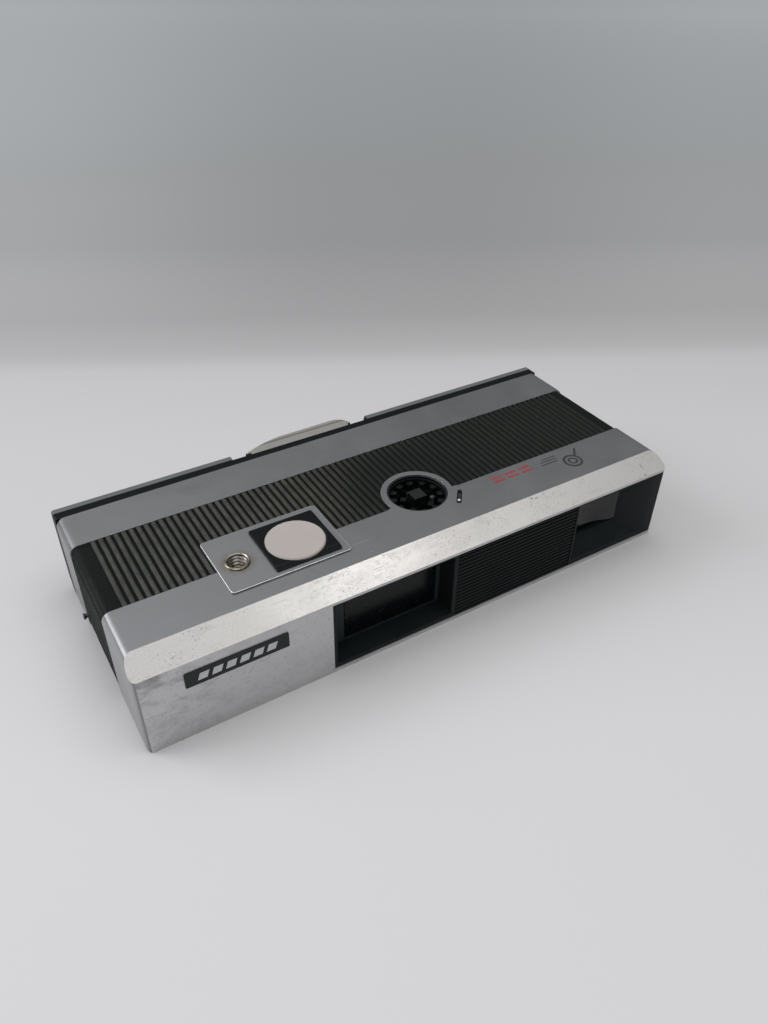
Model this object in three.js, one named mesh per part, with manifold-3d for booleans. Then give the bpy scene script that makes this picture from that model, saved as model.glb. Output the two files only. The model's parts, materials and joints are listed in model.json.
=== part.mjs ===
// Pocket camera for drop-in film cartridges, lying flat.
// Millimetres. In the camera group X runs from the badge end, Y from the front plate to the back, Z up
// from the resting face. The exported group moves that corner so that the origin is at the middle of
// the bottom of the whole object.
import * as THREE from 'three';
import { mergeVertices } from 'three/addons/utils/BufferGeometryUtils.js';
import Module from 'manifold-3d';

const wasm = await Module();
wasm.setup();

// Overall
const LENGTH = 134.6;
const HEIGHT = 23.25;
const WALL = 0.8;
const FIT = 0.15;
const CORNER = 2.0;
const FRONT_CORNER = 1.2;
const BACK_CORNER = 0.6;
const BEVEL_DEPTH = 5.08;
const BEVEL_DROP = 3.05;

// Where the strips of the top meet, measured from the front plate
const BAND_FRONT = 17.05;
const BAND_BACK = 39.8;
const REAR_COVER_BACK = 51.05;
const FRAME_BACK = 54.2;
const LIP = { front: 53.1, bottom: 22.4 };
const LIP_BACK = 54.8;
const DOOR_BACK = 55.4;

// Ribs
const RIB_PITCH = 1.64;
const RIB_WIDTH = 0.95;
const RIB_HEIGHT = 0.45;
const RIB_RELIEF = 0.05;
const BAND_INSET = 1.0;

// Front opening and its bays
const OPENING = { x0: 41, x1: 133.9, z0: 1.0, z1: 19.5 };
const LENS_BAY = { x0: 41.9, x1: 71.2, z0: 2.0, z1: 18.9, depth: 5.6 };
const LENS_WINDOW = { x0: 46.6, x1: 70.0, z0: 2.7, z1: 18.2, thick: 0.9 };
const GRILLE = { x0: 72.4, x1: 106.3, z0: 1.45, z1: 19.05, depth: 1.6, crest: 0.35, root: 0.85, ribs: 17 };
const VIEW_BAY = { x0: 107.0, x1: 130.0, z0: 2.2, z1: 18.7, depth: 7.0 };
const VIEW_AXIS = { x: 114.2, z: 10.8 };
const BEZEL_FRONT = 0.25;
const BEZEL_BACK = VIEW_BAY.depth + 0.9;
const VIEW_PANE = { width: 12.4, height: 7.8, front: 6.5, back: 8.9 };
const VIEW_LENS = { x0: 107.2, x1: 123.2, z0: 6.8, z1: 18.4, front: 3.4, back: 6.9, hollow: 1.1, room: 0.2 };
const VIEW_TUNNEL = { front: 9.4, back: 50.4, wall: 0.9, mouth: 12 };
const BADGE = { x0: 9.4, x1: 31.0, z0: 13.8, z1: 17.6, front: -0.25, back: -0.02 };

// Lens
const LENS = { x: 58.5, z: 10.4, barrelRadius: 5.2, boreRadius: 3.8, flangeRadius: 6.3 };
const BARREL_FRONT = 7.5;
const BARREL_BACK = 13.6;
const BARREL_STOP = { front: 10.4, back: 11.2, depth: 0.8 };
const BLADE_FRONT = 14.3;
const BLADE_THICK = 0.3;
const BLADE_DISC = 3.2;
const SHUTTER_PLATE_FRONT = 15.0;
const SHUTTER_PLATE_THICK = 0.7;
const APERTURE_RADIUS = 2.2;
const BLADE_PIVOT = { x: 64.9, z: 10.4 };
const SHUTTER_ROOM = { x0: 50.9, x1: 67.0, z0: 2.9, z1: 18.1, back: 17.2 };

// Film chamber: a spool well at each end of a shallow bridge, behind the film gate
const CHAMBER = { x0: 18, x1: 99, z0: 1.9, z1: 20.4, front: 27.6, wellWidth: 26, bridgeFront: 38.2 };
const GATE = { width: 17, height: 13, throatWidth: 12, throatHeight: 10 };
const CHASSIS_FRONT = 8.9;
const CHASSIS_END = 1.9;
const CHASSIS_FLOOR = 1.2;
const ROOF = 20.95;
const MECHANISM_TOP = 22.3;

// Where the moulded body is divided: a block at each end, and the middle parts between them
const MIDDLE = { x0: 16.4, x1: 100.6 };

// Release
const RELEASE = { x: 41.6, y: 17.4, radius: 6.5 };
const PLATE = { x0: 23.8, x1: 50.8, y0: 9.3, y1: 26.9, thick: 0.4, corner: 0.8 };
const SURROUND = { x0: 34.1, x1: 49.1, y0: 10.4, y1: 24.9, thick: 0.55 };
const CABLE_BUSH = { x: 28.4, y: 17.5, flangeRadius: 2.7, bodyRadius: 2.35, holeRadius: 1.55, bottom: 17.2 };
const LEVER = { x: 49.4, y: 17.4, z: 18.4, width: 2.8, thick: 0.8, pinRadius: 0.6 };
const LEVER_ROOM = { x0: 24.5, x1: 52.5, back: 22.8, z0: 16.3 };
const PIVOT_FIT = 0.06;
const SPRING = { turns: 3, radius: 2.6, wire: 0.25, bottom: 19.25 };

// Flash socket
const SOCKET = { x: 73.7, y: 19.5, mouthRadius: 7.05, ringRadius: 8.45, floor: 13.0 };
const HUB = { teeth: 12, ringTop: 22.0, notch: 1.8, post: 3.3, postTop: 22.85, keyTop: 20.6 };
const SENSOR = {
  x: 81.2, y: 13.4, length: 5.4, width: 1.15, bottom: 12, sunk: 0.8, angle: Math.atan2(4.7, 3.7),
};

// Advance slide, in the notch of the back's lip, with the gears that it turns
const NOTCH = { x0: 42.6, x1: 80.2 };
const SLIDE = { x0: 46.4, x1: 75.9, back: 57.9, z0: 17.6, z1: 22.75, flat0: 57.0, flat1: 72.0 };
const MODULE = 0.8;
const RACK_PITCH_LINE = 41.5;
const PINION = { x: 77.5, teeth: 12 };
const DRIVE_GEAR = { x: 86, teeth: 16 };
const GEAR_BOTTOM = 21.1;
const GEAR_TOP = 21.9;
const PEG_RADIUS = 1.2;
const TEETH = { addendum: MODULE * 0.85, dedendum: MODULE * 1.1 };
const RACK = { teeth: 9, back: 44.4 };
const FILM_KEY = { shaftRadius: 2.2, top: 19.6, bottom: 18.8, width: 1.6, length: 4.2 };

// Back, hinge and latch
const HINGE = { y: 53.5, z: 1.75, pinRadius: 0.7, boreRadius: 0.76, knuckleRadius: 1.35 };
const HINGE_INNER = { x0: 8, x1: 126 };
const EYEPIECE = { width: 9.0, height: 6.6, front: 50.7, back: 53.2 };
const DOOR_WINDOW = { x0: 47.5, x1: 69.5, z0: 5.5, z1: 15.5 };
const LATCH = { x0: 85, x1: 98, z0: 17.0, z1: 20.4, travel: 3.0 };

// Underside
const TRIPOD_BUSH = { x: 10.8, y: 28, radius: 5.0, holeRadius: 3.1, depth: 6.0 };
const SCREW_PLACES = [[6.2, 9], [127.8, 9], [6.2, 46], [127.8, 46]];
const SCREW = { headRadius: 1.8, shankRadius: 0.9, length: 5, cross: 1.1 };
const GRIP = { grooves: 9, x: 96, pitch: 3, width: 1.4, y0: 20, y1: 37, deep: 0.3 };
const LUG = { y: 37.2, z: 6.1, reach: 1.2, radius: 0.5, headRadius: 0.75, depth: 6 };

const material = (color, roughness, metalness) =>
  new THREE.MeshStandardMaterial({ color, roughness, metalness });
const clear = (color) =>
  new THREE.MeshStandardMaterial({ color, roughness: 0.05, metalness: 0, transparent: true, opacity: 0.4 });
const SATIN = () => material(0x8b8c90, 0.38, 0.9);
const BLACK = () => material(0x1b1e1e, 0.55, 0.0);
const RIBBED = () => material(0x2c302f, 0.6, 0.0);
const STEEL = () => material(0x9b9a96, 0.35, 1.0);
const BRASS = () => material(0xa99a72, 0.35, 1.0);

// The pinion sits in front of the rack, the film gear beside it at their centre distance.
const pitchRadius = (teeth) => (MODULE * teeth) / 2;
const pinionY = RACK_PITCH_LINE - pitchRadius(PINION.teeth);
const gearSpacing = pitchRadius(PINION.teeth) + pitchRadius(DRIVE_GEAR.teeth);
const driveGearY = pinionY - Math.sqrt(gearSpacing ** 2 - (DRIVE_GEAR.x - PINION.x) ** 2);

// Solids and booleans ------------------------------------------------------------------------------

function toSolid(geometry) {
  const bare = geometry.clone();
  bare.deleteAttribute('normal');
  bare.deleteAttribute('uv');
  const merged = mergeVertices(bare, 1e-4);
  return new wasm.Manifold(new wasm.Mesh({
    numProp: 3,
    vertProperties: new Float32Array(merged.attributes.position.array),
    triVerts: new Uint32Array(merged.index.array),
  }));
}

function toGeometry(solid) {
  const mesh = solid.getMesh();
  const geometry = new THREE.BufferGeometry();
  geometry.setAttribute('position', new THREE.BufferAttribute(mesh.vertProperties, 3));
  geometry.setIndex(new THREE.BufferAttribute(mesh.triVerts, 1));
  geometry.computeVertexNormals();
  return geometry;
}

function cut(base, ...tools) {
  return toGeometry(tools.reduce((solid, tool) => solid.subtract(toSolid(tool)), toSolid(base)));
}

function join(base, ...others) {
  return toGeometry(others.reduce((solid, other) => solid.add(toSolid(other)), toSolid(base)));
}

function common(base, ...others) {
  return toGeometry(others.reduce((solid, other) => solid.intersect(toSolid(other)), toSolid(base)));
}

function block(x0, x1, y0, y1, z0, z1) {
  const box = new THREE.BoxGeometry(x1 - x0, y1 - y0, z1 - z0);
  return box.translate((x0 + x1) / 2, (y0 + y1) / 2, (z0 + z1) / 2);
}

// Round bar along x, y or z between two stations, centred at (a, b) in the other two coordinates.
function bar(axis, from, to, a, b, radius, sides = 24) {
  const cylinder = new THREE.CylinderGeometry(radius, radius, to - from, sides);
  const middle = (from + to) / 2;
  if (axis === 'x') return cylinder.rotateZ(Math.PI / 2).translate(middle, a, b);
  if (axis === 'y') return cylinder.translate(a, middle, b);
  return cylinder.rotateX(Math.PI / 2).translate(a, b, middle);
}

// A drawn outline pushed along one axis. The outline's two coordinates are (y, z) for x,
// (x, z) for y and (x, y) for z.
function push(axis, outline, from, to, curveSegments = 4) {
  const options = { depth: to - from, bevelEnabled: false, curveSegments };
  const geometry = new THREE.ExtrudeGeometry(outline, options);
  const basis = new THREE.Matrix4();
  const [ex, ey, ez] = [[1, 0, 0], [0, 1, 0], [0, 0, 1]].map((v) => new THREE.Vector3(...v));
  if (axis === 'x') basis.makeBasis(ey, ez, ex).setPosition(from, 0, 0);
  if (axis === 'y') basis.makeBasis(ex, ez, ey.negate()).setPosition(0, to, 0);
  if (axis === 'z') basis.makeBasis(ex, ey, ez).setPosition(0, 0, from);
  return geometry.applyMatrix4(basis);
}

function roundedRect(u0, u1, v0, v1, low, high = low) {
  const shape = new THREE.Shape();
  shape.moveTo(u0 + low, v0);
  shape.lineTo(u1 - low, v0);
  shape.absarc(u1 - low, v0 + low, low, -Math.PI / 2, 0, false);
  shape.lineTo(u1, v1 - high);
  shape.absarc(u1 - high, v1 - high, high, 0, Math.PI / 2, false);
  shape.lineTo(u0 + high, v1);
  shape.absarc(u0 + high, v1 - high, high, Math.PI / 2, Math.PI, false);
  shape.lineTo(u0, v0 + low);
  shape.absarc(u0 + low, v0 + low, low, Math.PI, 1.5 * Math.PI, false);
  return shape;
}

function polygon(points) {
  return new THREE.Shape(points.map(([u, v]) => new THREE.Vector2(u, v)));
}

function lathe(points, sides = 24) {
  const profile = points.map(([r, h]) => new THREE.Vector2(r, h));
  return new THREE.LatheGeometry([...profile, profile[0].clone()], sides).rotateX(Math.PI / 2);
}

// Assembly -----------------------------------------------------------------------------------------

const camera = new THREE.Group();

function place(name, geometry, look, position = [0, 0, 0], parent = camera) {
  const mesh = new THREE.Mesh(geometry, look);
  mesh.name = name;
  mesh.position.set(...position);
  parent.add(mesh);
  return mesh;
}

// Outside form of the camera, drawn in by inset: rounded ends, bevelled top front edge.
function envelope(inset, back) {
  const ends = roundedRect(inset, LENGTH - inset, inset, HEIGHT - inset, 1.2, CORNER - inset / 2);
  const plan = roundedRect(inset, LENGTH - inset, inset, back + 10, FRONT_CORNER);
  const slope = BEVEL_DROP / BEVEL_DEPTH;
  const drop = inset * (Math.hypot(1, slope) - 1);
  const side = polygon([
    [inset, inset],
    [back, inset],
    [back, HEIGHT - inset],
    [BEVEL_DEPTH + drop / slope, HEIGHT - inset],
    [inset, HEIGHT - BEVEL_DROP - drop],
  ]);
  return common(
    push('y', ends, 0, back),
    push('x', side, 0, LENGTH),
    push('z', plan, 0, HEIGHT),
  );
}

const socketHole = (radius, z0, z1) => bar('z', z0, z1, SOCKET.x, SOCKET.y, radius, 36);
const releaseHole = (radius, z0, z1) => bar('z', z0, z1, RELEASE.x, RELEASE.y, radius, 32);
const bushHole = (radius, z0, z1) => bar('z', z0, z1, CABLE_BUSH.x, CABLE_BUSH.y, radius, 20);
const screwHoles = () => SCREW_PLACES.map(([x, y]) => bar('z', 0, 6, x, y, SCREW.shankRadius + 0.1, 12));

function gearShaftHole() {
  return bar('z', SENSOR.bottom, ROOF + 1, DRIVE_GEAR.x, driveGearY, FILM_KEY.shaftRadius + 0.1, 24);
}

function eyeHole() {
  const width = EYEPIECE.width / 2 + FIT;
  const height = EYEPIECE.height / 2 + FIT;
  return block(VIEW_AXIS.x - width, VIEW_AXIS.x + width, 40, FRAME_BACK + 1,
    VIEW_AXIS.z - height, VIEW_AXIS.z + height);
}

function sensorSlot(margin, z0, z1) {
  const half = SENSOR.length / 2 + margin;
  const width = SENSOR.width + 2 * margin;
  const slot = push('z', roundedRect(-half, half, -width / 2, width / 2, width * 0.49), z0, z1, 3);
  return slot.rotateZ(SENSOR.angle).translate(SENSOR.x, SENSOR.y, 0);
}

// Ring tab round the socket, with the concave fillets that run it into the strip's edge.
function ringTab(radius, z0, z1) {
  const fillet = 1.5;
  const rise = BAND_FRONT - SOCKET.y;
  const reach = Math.sqrt((radius + fillet) ** 2 - (fillet + rise) ** 2);
  const web = polygon([
    [SOCKET.x - reach, BAND_FRONT - 1],
    [SOCKET.x + reach, BAND_FRONT - 1],
    [SOCKET.x + reach, BAND_FRONT],
    [SOCKET.x, SOCKET.y],
    [SOCKET.x - reach, BAND_FRONT],
  ]);
  const flare = cut(
    push('z', web, z0, z1),
    bar('z', z0 - 1, z1 + 1, SOCKET.x - reach, BAND_FRONT + fillet, fillet, 20),
    bar('z', z0 - 1, z1 + 1, SOCKET.x + reach, BAND_FRONT + fillet, fillet, 20),
  );
  return join(socketHole(radius, z0, z1), flare);
}

function releaseTab(margin, z0, z1) {
  const outline = roundedRect(
    PLATE.x0 - margin, PLATE.x1 + margin, BAND_FRONT - 2, PLATE.y1 + margin, PLATE.corner);
  return push('z', outline, z0, z1);
}

function frontCover() {
  const top = HEIGHT - WALL;
  const shell = cut(
    common(envelope(0, REAR_COVER_BACK), block(0, LENGTH, 0, BAND_FRONT, 0, HEIGHT)),
    envelope(WALL, REAR_COVER_BACK),
    block(WALL, LENGTH - WALL, 4, BAND_FRONT + 1, -1, WALL + 1),
  );
  const withTabs = join(shell, ringTab(SOCKET.ringRadius, top, HEIGHT), releaseTab(0, top, HEIGHT));
  return cut(
    withTabs,
    block(OPENING.x0, OPENING.x1, -1, 8.2, OPENING.z0, OPENING.z1),
    socketHole(SOCKET.mouthRadius, 15, HEIGHT + 1),
    releaseHole(RELEASE.radius + 0.2, 20, HEIGHT + 1),
    bushHole(CABLE_BUSH.bodyRadius + FIT, 20, HEIGHT + 1),
    sensorSlot(0, 20, HEIGHT + 1),
  );
}

function rearCover() {
  const strip = block(0, LENGTH, BAND_BACK, REAR_COVER_BACK - FIT, 0.9, HEIGHT);
  return cut(common(envelope(0, REAR_COVER_BACK), strip), envelope(WALL, REAR_COVER_BACK + 1),
    block(WALL, LENGTH - WALL, 0, 60, -1, WALL + 1));
}

function ribbedCover() {
  const y0 = BAND_FRONT + FIT;
  const y1 = BAND_BACK - FIT;
  const base = common(envelope(RIB_HEIGHT, y1), block(0, LENGTH, y0, y1, 0.9, HEIGHT));
  const deep = RIB_HEIGHT + 0.25;
  const ribs = [];
  const count = Math.floor((LENGTH - 2 * CORNER) / RIB_PITCH);
  const start = (LENGTH - (count - 1) * RIB_PITCH) / 2;
  for (let i = 0; i < count; i += 1) {
    const x = start + i * RIB_PITCH;
    ribs.push(block(x - RIB_WIDTH / 2, x + RIB_WIDTH / 2, y0, y1, HEIGHT - deep, HEIGHT - RIB_RELIEF));
  }
  const endRibs = Math.floor((HEIGHT - 2 * CORNER) / RIB_PITCH);
  for (let i = 0; i < endRibs; i += 1) {
    const z = CORNER + 1 + i * RIB_PITCH;
    const rib = block(RIB_RELIEF, deep, y0, y1, z - RIB_WIDTH / 2, z + RIB_WIDTH / 2);
    ribs.push(rib, rib.clone().translate(LENGTH - deep - RIB_RELIEF, 0, 0));
  }
  return cut(
    join(base, ...ribs),
    envelope(BAND_INSET, REAR_COVER_BACK),
    block(BAND_INSET, LENGTH - BAND_INSET, 0, 60, -1, 4),
    ringTab(SOCKET.ringRadius + FIT, 15, HEIGHT + 1),
    releaseTab(FIT, 15, HEIGHT + 1),
    bar('x', -1, 3, LUG.y, LUG.z, LUG.radius + 0.1, 16),
  );
}

function bottomCover() {
  const plate = push('z', roundedRect(1.1, LENGTH - 1.1, 4.2, REAR_COVER_BACK - FIT, 1), 0, 1.1);
  const screws = SCREW_PLACES.flatMap(([x, y]) => [
    bar('z', -1, 0.75, x, y, SCREW.headRadius + FIT, 24),
    bar('z', -1, 2, x, y, SCREW.shankRadius + 0.1, 16),
  ]);
  const grip = [];
  for (let i = 0; i < GRIP.grooves; i += 1) {
    const x = GRIP.x + i * GRIP.pitch;
    grip.push(block(x, x + GRIP.width, GRIP.y0, GRIP.y1, -1, GRIP.deep));
  }
  return cut(plate, ...screws, ...grip,
    bar('z', -1, 2, TRIPOD_BUSH.x, TRIPOD_BUSH.y, TRIPOD_BUSH.radius + FIT, 28));
}

// The moulded body is in five parts. This one carries the release, the shutter and the flash socket.
function chassis() {
  const room = SHUTTER_ROOM;
  return cut(
    block(MIDDLE.x0, MIDDLE.x1, CHASSIS_FRONT, CHAMBER.front, CHASSIS_FLOOR, ROOF),
    block(LENS.x - GATE.throatWidth / 2, LENS.x + GATE.throatWidth / 2, 0, CHAMBER.front + 1,
      LENS.z - GATE.throatHeight / 2, LENS.z + GATE.throatHeight / 2),
    block(room.x0, room.x1, 0, room.back, room.z0, room.z1),
    block(LEVER_ROOM.x0, LEVER_ROOM.x1, 0, LEVER_ROOM.back, LEVER_ROOM.z0, ROOF + 1),
    socketHole(SOCKET.mouthRadius + 0.9, SOCKET.floor - 1.2, HEIGHT),
    sensorSlot(0.5, SENSOR.bottom, HEIGHT),
    gearShaftHole(),
  );
}

// Tub that is open to the back: a well for each end of the cartridge and the gate between them.
function filmChamber() {
  const middle = (CHAMBER.x0 + CHAMBER.x1) / 2;
  const front = CHAMBER.front - 1;
  const wells = [CHAMBER.x0, CHAMBER.x1 - CHAMBER.wellWidth].map((x) =>
    block(x, x + CHAMBER.wellWidth, front, FRAME_BACK, CHAMBER.z0, CHAMBER.z1));
  const tub = cut(
    block(MIDDLE.x0, MIDDLE.x1, CHAMBER.front, REAR_COVER_BACK, CHASSIS_FLOOR, ROOF),
    block(CHAMBER.x0, CHAMBER.x1, CHAMBER.bridgeFront, FRAME_BACK, CHAMBER.z0, CHAMBER.z1),
    ...wells,
    block(middle - GATE.width / 2, middle + GATE.width / 2, front, FRAME_BACK,
      LENS.z - GATE.height / 2, LENS.z + GATE.height / 2),
    gearShaftHole(),
  );
  return join(tub, bar('z', ROOF - 0.3, GEAR_TOP + 0.1, PINION.x, pinionY, PEG_RADIUS, 20));
}

function tripodBlock() {
  return cut(
    block(CHASSIS_END, MIDDLE.x0, CHASSIS_FRONT, REAR_COVER_BACK, CHASSIS_FLOOR, ROOF),
    bar('z', 0, TRIPOD_BUSH.depth + 0.3, TRIPOD_BUSH.x, TRIPOD_BUSH.y, TRIPOD_BUSH.radius + FIT, 28),
    bar('x', 0, LUG.depth - LUG.reach + 0.3, LUG.y, LUG.z, LUG.radius + 0.1, 16),
    ...screwHoles(),
  );
}

function viewfinderHousing() {
  const width = VIEW_PANE.width / 2 + VIEW_TUNNEL.wall + FIT;
  const height = VIEW_PANE.height / 2 + VIEW_TUNNEL.wall + FIT;
  return cut(
    block(MIDDLE.x1, LENGTH - CHASSIS_END, CHASSIS_FRONT, REAR_COVER_BACK, CHASSIS_FLOOR, ROOF),
    block(VIEW_AXIS.x - width, VIEW_AXIS.x + width, 0, REAR_COVER_BACK - 0.5,
      VIEW_AXIS.z - height, VIEW_AXIS.z + height),
    eyeHole(),
    ...screwHoles(),
  );
}

// Frame round the whole back, with the hinge's trough along its bottom edge.
function rearFrame() {
  const back = FRAME_BACK + 1;
  const front = REAR_COVER_BACK - 1;
  const trough = { x0: HINGE_INNER.x0 - 0.3, x1: HINGE_INNER.x1 + 0.3 };
  return cut(
    push('y', roundedRect(0, LENGTH, 0.35, HEIGHT - 0.05, BACK_CORNER), REAR_COVER_BACK, FRAME_BACK),
    block(-1, LENGTH + 1, LIP.front, back, LIP.bottom - 0.1, HEIGHT + 1),
    block(CHAMBER.x0, CHAMBER.x1, front, back, CHAMBER.z0, CHAMBER.z1),
    eyeHole(),
    block(NOTCH.x0, NOTCH.x1, front, back, ROOF - 0.1, MECHANISM_TOP),
    bar('x', trough.x0, trough.x1, HINGE.y, HINGE.z, HINGE.knuckleRadius + 0.3, 24),
    block(trough.x0, trough.x1, HINGE.y - 0.3, back, 0, HINGE.z + HINGE.knuckleRadius + 0.35),
    bar('x', 3, LENGTH - 3, HINGE.y, HINGE.z, HINGE.boreRadius, 16),
    block(LATCH.x0 + 1.5, LATCH.x1 + LATCH.travel, front, back, LATCH.z0 - 0.6, CHAMBER.z1 + 0.2),
  );
}

// The black front is in three parts: a bay at each end and the frame of the grille between them.
function bezelPlate(x0, x1) {
  return block(x0, x1, BEZEL_FRONT, BEZEL_BACK, OPENING.z0 + FIT, OPENING.z1 - FIT);
}

function lensBezel() {
  const window = LENS_WINDOW;
  return cut(
    bezelPlate(OPENING.x0 + FIT, GRILLE.x0 - FIT),
    push('y', roundedRect(LENS_BAY.x0, LENS_BAY.x1, LENS_BAY.z0, LENS_BAY.z1, 0.4), -1, LENS_BAY.depth),
    block(window.x0 - 0.2, window.x1 + 0.2, 4, LENS_BAY.depth + window.thick + 0.2,
      window.z0 - 0.2, window.z1 + 0.2),
    bar('y', 0, BEZEL_BACK + 1, LENS.x, LENS.z, LENS.barrelRadius + 0.5, 28),
  );
}

function grilleFrame() {
  const x0 = GRILLE.x0 - FIT;
  const x1 = GRILLE.x1 + FIT;
  return cut(
    bezelPlate(x0, x1),
    block(x0 - 1, x1 + 1, -1, GRILLE.depth + 0.3, GRILLE.z0 - FIT, GRILLE.z1 + FIT),
    block(x0 - 1, x1 + 1, GRILLE.depth * 2, BEZEL_BACK + 1, GRILLE.z0 + 1, GRILLE.z1 - 1),
  );
}

// The bay narrows from the front opening to the lens: its floor and its far wall slope.
function viewfinderBay() {
  const { x0, x1, z0, z1 } = VIEW_BAY;
  const { room, front } = VIEW_LENS;
  const seat = { x1: VIEW_LENS.x1 + room, z0: VIEW_LENS.z0 - room, z1: VIEW_LENS.z1 + room };
  const mouth = [[x0, z0], [x1, z0], [x1, z1], [x0, z1]]
    .flatMap(([x, z]) => [[x, -1, z], [x, BEZEL_FRONT, z]]);
  const throat = [[x0, seat.z0], [seat.x1, seat.z0], [seat.x1, seat.z1], [x0, seat.z1]]
    .map(([x, z]) => [x, front, z]);
  const funnel = toGeometry(wasm.Manifold.hull([...mouth, ...throat]));
  return join(funnel, block(x0, seat.x1, 0, VIEW_BAY.depth, seat.z0, seat.z1));
}

function viewfinderBezel() {
  const half = [VIEW_PANE.width / 2 + 0.2, VIEW_PANE.height / 2 + 0.2];
  return cut(
    bezelPlate(GRILLE.x1 + FIT, OPENING.x1 - FIT),
    viewfinderBay(),
    block(VIEW_AXIS.x - half[0], VIEW_AXIS.x + half[0], 0, BEZEL_BACK + 1,
      VIEW_AXIS.z - half[1], VIEW_AXIS.z + half[1]),
  );
}

function grillePanel() {
  const { z0, z1, crest, root, ribs, depth } = GRILLE;
  const pitch = (z1 - z0) / ribs;
  const outline = [[depth, z0], [depth, z1]];
  for (let i = ribs - 1; i >= 0; i -= 1) {
    const z = z0 + i * pitch;
    outline.push([root, z + pitch], [crest, z + pitch * 0.72], [crest, z + pitch * 0.3], [root, z + 0.02]);
  }
  return push('x', polygon(outline), GRILLE.x0, GRILLE.x1);
}

function gear(teeth, bore, thickness) {
  const tip = pitchRadius(teeth) + TEETH.addendum;
  const root = pitchRadius(teeth) - TEETH.dedendum;
  const shape = new THREE.Shape();
  for (let i = 0; i < teeth; i += 1) {
    const step = (2 * Math.PI) / teeth;
    const flanks = [[root, -0.27], [tip, -0.12], [tip, 0.12], [root, 0.27]];
    flanks.forEach(([radius, share], k) => {
      const angle = (i + share) * step;
      const point = [radius * Math.cos(angle), radius * Math.sin(angle)];
      if (i === 0 && k === 0) shape.moveTo(...point);
      else shape.lineTo(...point);
    });
  }
  const hole = new THREE.Path();
  hole.absarc(0, 0, bore, 0, 2 * Math.PI, true);
  if (bore > 0) shape.holes.push(hole);
  return push('z', shape, 0, thickness, 8);
}

// Turn of the film gear that puts its teeth in the pinion's gaps.
function meshTurn() {
  const direction = Math.atan2(driveGearY - pinionY, DRIVE_GEAR.x - PINION.x);
  const pinionPhase = (direction * PINION.teeth) / (2 * Math.PI);
  const gearPhase = ((direction + Math.PI) * DRIVE_GEAR.teeth) / (2 * Math.PI);
  return ((pinionPhase + gearPhase + 0.5) * 2 * Math.PI) / DRIVE_GEAR.teeth;
}

// Thumb piece and rack in one: a low dome outside the back, a flat tongue under the top covers.
function advanceSlide() {
  const base = LIP_BACK - 0.3;
  const dome = new THREE.Shape();
  dome.moveTo(SLIDE.x0, base);
  dome.lineTo(SLIDE.x1, base);
  dome.quadraticCurveTo(SLIDE.x1 - 1.0, SLIDE.back - 0.2, SLIDE.flat1, SLIDE.back);
  dome.lineTo(SLIDE.flat0, SLIDE.back - 0.15);
  dome.quadraticCurveTo(SLIDE.flat0 - 6, SLIDE.back - 0.9, SLIDE.x0, base);
  const thumb = push('z', dome, SLIDE.z0, SLIDE.z1, 8);
  const top = block(SLIDE.x0 + 1.5, SLIDE.x1 - 1, LIP.front + 0.1, base + 0.1, LIP.bottom, SLIDE.z1);
  const tongue = block(53, 70, 42.6, LIP_BACK + 0.5, GEAR_BOTTOM, GEAR_TOP);
  const pitch = Math.PI * MODULE;
  const first = PINION.x - pitch * (RACK.teeth / 2 + 0.5);
  const root = RACK_PITCH_LINE + TEETH.dedendum;
  const tip = RACK_PITCH_LINE - TEETH.addendum;
  const teeth = [[first - pitch * 0.5, RACK.back], [first - pitch * 0.5, root]];
  for (let i = 0; i < RACK.teeth; i += 1) {
    const x = first + i * pitch;
    teeth.push([x + pitch * 0.23, root], [x + pitch * 0.38, tip]);
    teeth.push([x + pitch * 0.62, tip], [x + pitch * 0.77, root]);
  }
  teeth.push([first + RACK.teeth * pitch, root], [first + RACK.teeth * pitch, RACK.back]);
  return join(thumb, top, tongue, push('z', polygon(teeth), GEAR_BOTTOM, GEAR_TOP));
}

function backDoor() {
  const profile = polygon([
    [FRAME_BACK + 0.1, 3.0],
    [DOOR_BACK, 3.0],
    [DOOR_BACK, 21.4],
    [LIP_BACK, HEIGHT - 0.05],
    [LIP.front + 0.1, HEIGHT - 0.05],
    [LIP.front + 0.1, LIP.bottom],
    [FRAME_BACK + 0.1, LIP.bottom],
  ]);
  const knuckle = bar('x', HINGE_INNER.x0, HINGE_INNER.x1, HINGE.y, HINGE.z, HINGE.knuckleRadius, 20);
  const foot = block(HINGE_INNER.x0, HINGE_INNER.x1, HINGE.y, DOOR_BACK, HINGE.z - 0.6, 3.3);
  const panel = common(
    push('x', profile, 0, LENGTH),
    push('y', roundedRect(0, LENGTH, 2, HEIGHT, 0.4, BACK_CORNER), 50, 60),
  );
  const notch = block(NOTCH.x0, NOTCH.x1, 50, 60, SLIDE.z0 - 0.6, HEIGHT + 1);
  const pane = DOOR_WINDOW;
  return cut(
    join(panel, knuckle, foot),
    notch,
    bar('x', 0, LENGTH, HINGE.y, HINGE.z, HINGE.pinRadius + 0.06, 16),
    block(pane.x0, pane.x1, 50, 60, pane.z0, pane.z1),
    block(pane.x0 - 1, pane.x1 + 1, FRAME_BACK + 0.7, 60, pane.z0 - 1, pane.z1 + 1),
    block(VIEW_AXIS.x - EYEPIECE.width / 2 - 0.4, VIEW_AXIS.x + EYEPIECE.width / 2 + 0.4, 50, 60,
      VIEW_AXIS.z - EYEPIECE.height / 2 - 0.4, VIEW_AXIS.z + EYEPIECE.height / 2 + 0.4),
    block(LATCH.x0 + 3.3, LATCH.x1 - 0.2, 50, 60, LATCH.z0 + 0.9, LATCH.z1 - 0.9),
  );
}

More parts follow.
